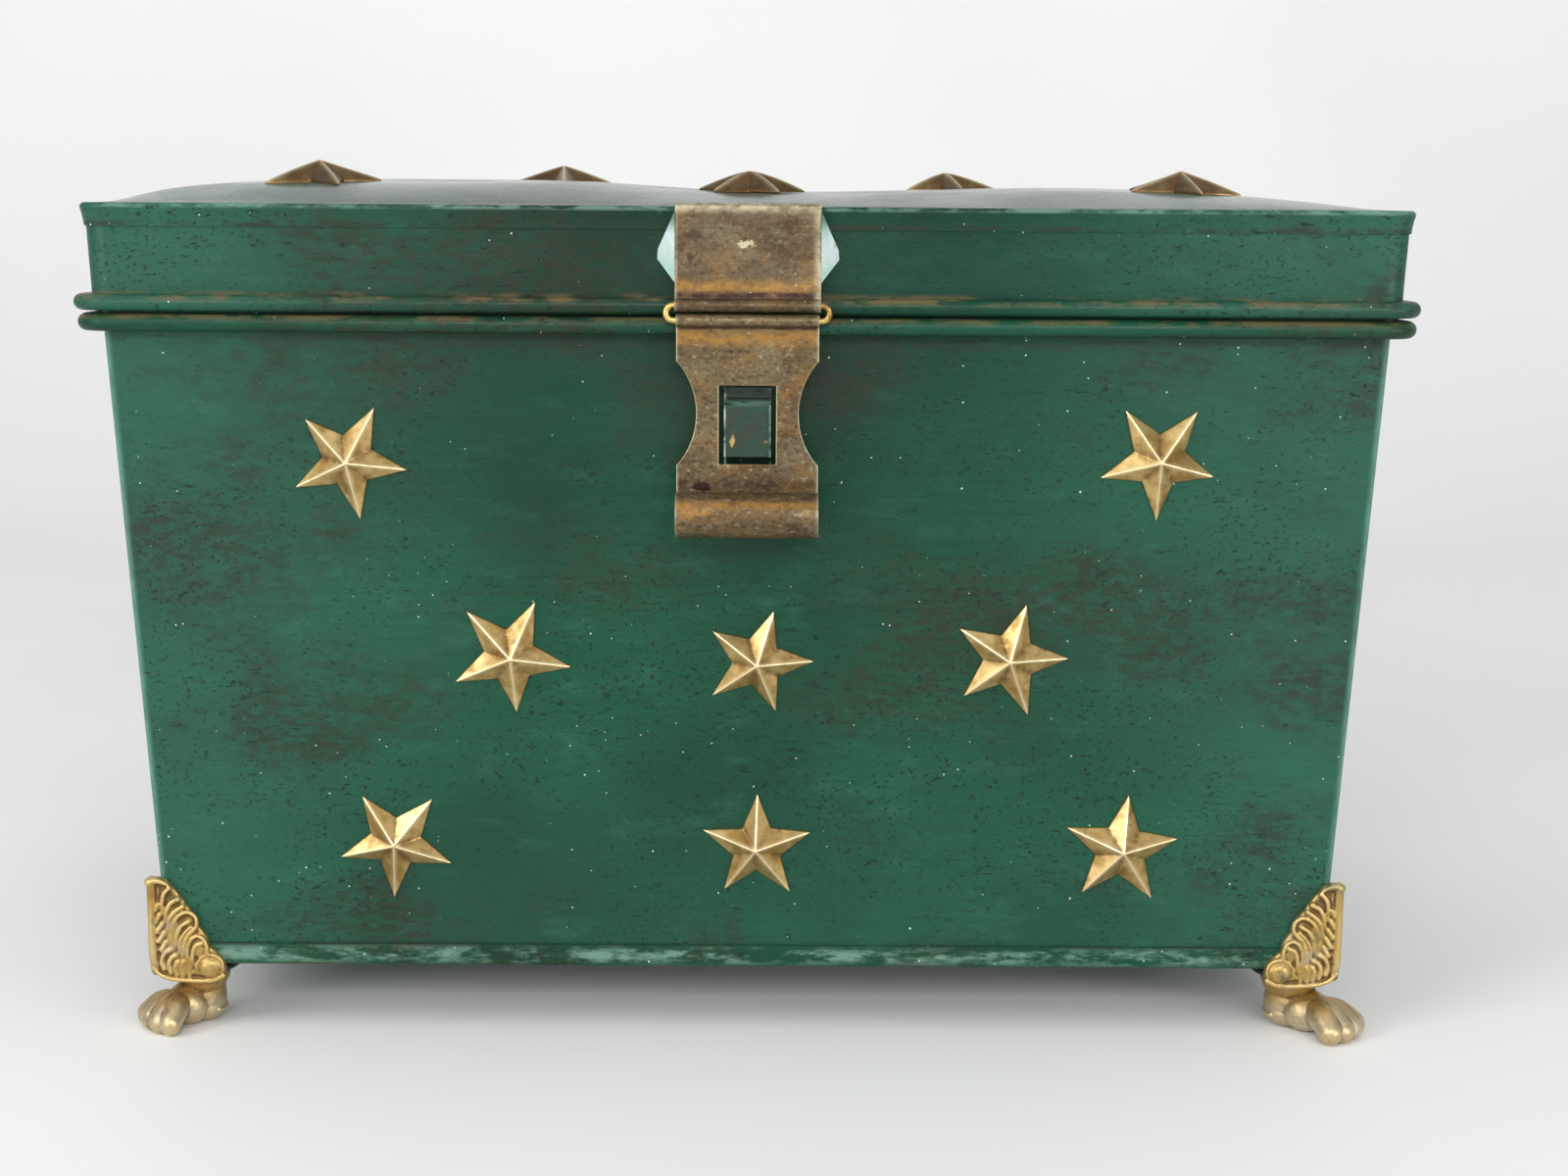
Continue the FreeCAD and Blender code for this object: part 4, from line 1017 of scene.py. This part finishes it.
# Dark parts under the body: inward of an edge and above a height, near the corner and at the wings' ends
SEAT_EDGE, SEAT_LOW = -1.0, 16.6
SEAT_FAR_EDGE, SEAT_FAR_LOW = -19.3, 16.0
TUBE_SIDES = 12
TOE_SIDES = 20
ANKLE_SIDES = 28
BALL_SUBDIVISIONS = 3
FOOT_VOXEL = 0.32
FOOT_KEEP_SHARE = 0.34
CLAY_SMOOTH_SHARE = 0.5
CLAY_SMOOTH_ROUNDS = 2
CAVITY_ROUNDS = 14
CAVITY_SPAN = 0.3
DIAGONAL = math.sqrt(0.5)


def smooth_path(points, steps):
    # Catmull-Rom samples through the points
    spots = [Vector(p) for p in points]
    spots = [spots[0] * 2 - spots[1]] + spots + [spots[-1] * 2 - spots[-2]]
    path = []
    for place in range(1, len(spots) - 2):
        before, start, end, after = spots[place - 1:place + 3]
        for step in range(steps):
            t = step / steps
            path.append(0.5 * (
                2 * start + (end - before) * t + (2 * before - 5 * start + 4 * end - after) * t * t
                + (3 * start - before - 3 * end + after) * t ** 3))
    path.append(spots[-2])
    return path


def add_ball(mesh, place, sizes, turn=None):
    matrix = Matrix.Translation(place) @ (turn or Matrix.Identity(4)) @ Matrix.Diagonal((*sizes, 1.0))
    bmesh.ops.create_icosphere(mesh, subdivisions=BALL_SUBDIVISIONS, radius=1.0, matrix=matrix)


def add_tube(mesh, path, radii, sides=TUBE_SIDES):
    # A round tube along a path with a ball at both ends; each ring takes its turn from the one before
    rings = []
    across = (path[1] - path[0]).orthogonal()
    for place, (point, radius) in enumerate(zip(path, radii)):
        ahead = (path[min(place + 1, len(path) - 1)] - path[max(place - 1, 0)]).normalized()
        across = (across - ahead * across.dot(ahead)).normalized()
        up = ahead.cross(across)
        ring = []
        for side in range(sides):
            angle = 2 * math.pi * side / sides
            spoke = across * math.cos(angle) + up * math.sin(angle)
            ring.append(mesh.verts.new(point + spoke * radius))
        rings.append(ring)
    for first, second in zip(rings, rings[1:]):
        for side in range(sides):
            after = (side + 1) % sides
            mesh.faces.new((first[side], first[after], second[after], second[side]))
    mesh.faces.new(rings[0][::-1])
    mesh.faces.new(rings[-1])
    for point, radius in ((path[0], radii[0]), (path[-1], radii[-1])):
        add_ball(mesh, point, (radius, radius, radius))


def wing_point(inset, height, stand, mirrored):
    out = Vector((RIDGE_STAND - inset, stand, height))
    return Vector((out.y, out.x, out.z)) if mirrored else out


def wing_face(inset):
    # Stand of the web's outer face off the wall
    amount, middle, spread = WING_BOW
    return WING_STAND + amount * math.exp(-((inset - middle) / spread) ** 2)


def add_wing(mesh, mirrored):
    # Web between the wall and the bowed outer face
    loops = []
    for inner in (True, False):
        loop = []
        for inset, height in WING_WEB:
            stand = WING_BACK_LEAN * (height - BODY_FOOT) if inner else wing_face(inset) - WEB_SET_BACK
            loop.append(mesh.verts.new(wing_point(inset, height, stand, mirrored)))
        loops.append(loop)
    back, front = loops
    count = len(WING_WEB)
    for place in range(count):
        after = (place + 1) % count
        mesh.faces.new((back[place], back[after], front[after], front[place]))
    mesh.faces.new(back)
    mesh.faces.new(front)
    for points, root, head in FEATHERS:
        flat = smooth_path([(inset, height, 0.0) for inset, height in points], FEATHER_STEPS)
        last = len(flat) - 1
        radii = [root + (head - root) * place / last for place in range(len(flat))]
        path = [wing_point(p.x, p.y, wing_face(p.x), mirrored) for p in flat]
        add_tube(mesh, path, radii)
    slant = math.radians(SCALE_SLANT)
    for (inset, height), half in SCALES:
        ends = []
        for share in (-half, half):
            across, up = inset + share * math.sin(slant), height + share * math.cos(slant)
            ends.append(wing_point(across, up, wing_face(across), mirrored))
        add_tube(mesh, ends, SCALE_RADII)
    for (inset, height), wide, tall, deep in SWELLS:
        centre = wing_point(inset, height, wing_face(inset) - WEB_SET_BACK, mirrored)
        thick = deep + WEB_SET_BACK
        add_ball(mesh, centre, (thick, wide, tall) if mirrored else (wide, thick, tall))


def on_diagonal(reach, height, side=0.0):
    return Vector(((reach - side) * DIAGONAL, (reach + side) * DIAGONAL, height))


def on_toe(way, reach, height):
    return on_diagonal(TOE_ROOT + reach * math.cos(way), height, reach * math.sin(way))


def add_heel_band(mesh):
    radius, height, thick, half = HEEL_BAND
    band = []
    for step in range(BAND_STEPS + 1):
        angle = math.radians(180.0 + half * (2.0 * step / BAND_STEPS - 1.0))
        along, side = ANKLE_REACH + radius * math.cos(angle), radius * math.sin(angle)
        band.append(on_diagonal(along, height, side))
    add_tube(mesh, band, [thick] * len(band))


def add_paw(mesh):
    turn = Matrix.Rotation(math.radians(45.0), 4, "Z")
    path = [on_diagonal(*place) for place, radius in ANKLE]
    add_tube(mesh, path, [radius for place, radius in ANKLE], ANKLE_SIDES)
    for reach, sizes, height in PAW_BLOBS:
        add_ball(mesh, on_diagonal(reach, height), sizes, turn)
    add_heel_band(mesh)
    for degrees in TOE_TURNS:
        way = math.radians(degrees)
        points, sizes = [], []
        for reach, height, radius in ((0.0, *TOE_ROOT_SIZE), TOE_JOINT, TOE_TIP):
            points.append(on_toe(way, reach, height))
            sizes.append((radius, 0.0, 0.0))
        radii = [size.x for size in smooth_path(sizes, TOE_STEPS)]
        add_tube(mesh, smooth_path(points, TOE_STEPS), radii, TOE_SIDES)
        reach, height, radius = KNUCKLE
        add_ball(mesh, on_toe(way, reach, height), (radius, radius, radius))


def add_seat(mesh):
    for place, height, wide, tall in SEAT_BALLS:
        add_ball(mesh, Vector((place, place, height)), (wide, wide, tall))
    ridge = RIDGE_STAND - SPINE_RADIUS
    spine = [Vector((ridge - bend, ridge - bend, height)) for bend, height in SPINE]
    path = smooth_path(spine, SPINE_STEPS)
    add_tube(mesh, path, [SPINE_RADIUS] * len(path))


def smoothed_points(points, edges):
    # Points after several rounds of averaging with their neighbours
    count = np.bincount(edges.ravel(), minlength=len(points)).astype(float)
    smoothed = points.copy()
    for _ in range(CAVITY_ROUNDS):
        total = np.zeros_like(smoothed)
        for axis in range(3):
            total[:, axis] = np.bincount(edges[:, 0], smoothed[edges[:, 1], axis], len(points))
            total[:, axis] += np.bincount(edges[:, 1], smoothed[edges[:, 0], axis], len(points))
        smoothed = total / count[:, None]
    return smoothed


def cavity_shares(fine):
    # Points of a mesh, and how sunk each is: 1 in recesses, 0 on crests
    points = np.empty(len(fine.vertices) * 3)
    fine.vertices.foreach_get("co", points)
    points = points.reshape(-1, 3)
    normals = np.array([v.normal for v in fine.vertices])
    edges = np.empty(len(fine.edges) * 2, dtype=np.int64)
    fine.edges.foreach_get("vertices", edges)
    relief = ((smoothed_points(points, edges.reshape(-1, 2)) - points) * normals).sum(axis=1)
    return points, np.clip(0.5 + 0.5 * relief / CAVITY_SPAN, 0.0, 1.0)


def evaluated_mesh(piece):
    # Mesh of a piece with its modifiers applied
    bpy.context.view_layer.update()
    graph = bpy.context.evaluated_depsgraph_get()
    return bpy.data.meshes.new_from_object(piece.evaluated_get(graph))


def sculpt_foot():
    # Points, faces and cavity shares of one foot, joined from its strokes and thinned out
    mesh = bmesh.new()
    for mirrored in (False, True):
        add_wing(mesh, mirrored)
    add_seat(mesh)
    add_paw(mesh)
    bmesh.ops.recalc_face_normals(mesh, faces=mesh.faces)
    clay = object_from(mesh, "foot_clay")
    strokes = clay.data
    remesh = clay.modifiers.new("remesh", "REMESH")
    remesh.mode = "VOXEL"
    remesh.voxel_size = FOOT_VOXEL
    smooth = clay.modifiers.new("smooth", "SMOOTH")
    smooth.factor = CLAY_SMOOTH_SHARE
    smooth.iterations = CLAY_SMOOTH_ROUNDS
    fine = evaluated_mesh(clay)
    points, cavity = cavity_shares(fine)
    clay.modifiers.clear()
    clay.data = fine
    slim = clay.modifiers.new("slim", "DECIMATE")
    slim.ratio = FOOT_KEEP_SHARE
    thinned = evaluated_mesh(clay)
    tree = kdtree.KDTree(len(points))
    for number, point in enumerate(points):
        tree.insert(point, number)
    tree.balance()
    kept = [cavity[tree.find(v.co)[1]] for v in thinned.vertices]
    places = [v.co.copy() for v in thinned.vertices]
    faces = [list(face.vertices) for face in thinned.polygons]
    bpy.data.objects.remove(clay)
    for spent in (strokes, fine, thinned):
        bpy.data.meshes.remove(spent)
    return places, faces, kept


def seat_shares(places):
    # Marks what tucks in under the body, where the casting is dark
    shares = []
    for place in places:
        inside = max(place.x, place.y) < SEAT_EDGE and place.z > SEAT_LOW
        far = min(place.x, place.y) < SEAT_FAR_EDGE and place.z > SEAT_FAR_LOW
        shares.append(1.0 if inside or far else 0.0)
    return shares


def build_feet():
    places, faces, cavity = sculpt_foot()
    under = seat_shares(places)
    low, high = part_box("bottom_sheet")
    middle = (low + high) / 2
    half = (high - low) / 2
    for across, side in ((-1, "left"), (1, "right")):
        for deep, end in ((-1, "front"), (1, "back")):
            name = "%s_%s_foot" % (end, side)
            points = []
            for place in places:
                # What lies ahead of the ankle is drawn back along the diagonal
                ahead = max((place.x + place.y) * DIAGONAL - ANKLE_REACH, 0.0)
                low_share = min(max((PAW_TOP - place.z) / PAW_FADE, 0.0), 1.0)
                back = ahead * (1.0 - PAW_SHARES[name]) * low_share * DIAGONAL
                x = middle.x + across * (half.x + (place.x - back) * MM)
                y = middle.y + deep * (half.y + (place.y - back) * MM)
                points.append((x, y, max(place.z, 0.0) * MM))
            order = faces if across * deep > 0 else [face[::-1] for face in faces]
            data = bpy.data.meshes.new(name + "_look")
            data.from_pydata(points, [], order)
            for key, shares in (("cavity", cavity), ("seat", under)):
                data.attributes.new(key, "FLOAT", "POINT").data.foreach_set("value", shares)
            for face in data.polygons:
                face.use_smooth = True
            data.materials.append(gilt)
            piece = add_object(name + "_look", data)
            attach(piece, "box")
            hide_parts(name)


dress_nodes()
build_stars()
build_feet()
build_stage()
build_lights()
build_camera()
bpy.context.scene.view_settings.view_transform = "Standard"
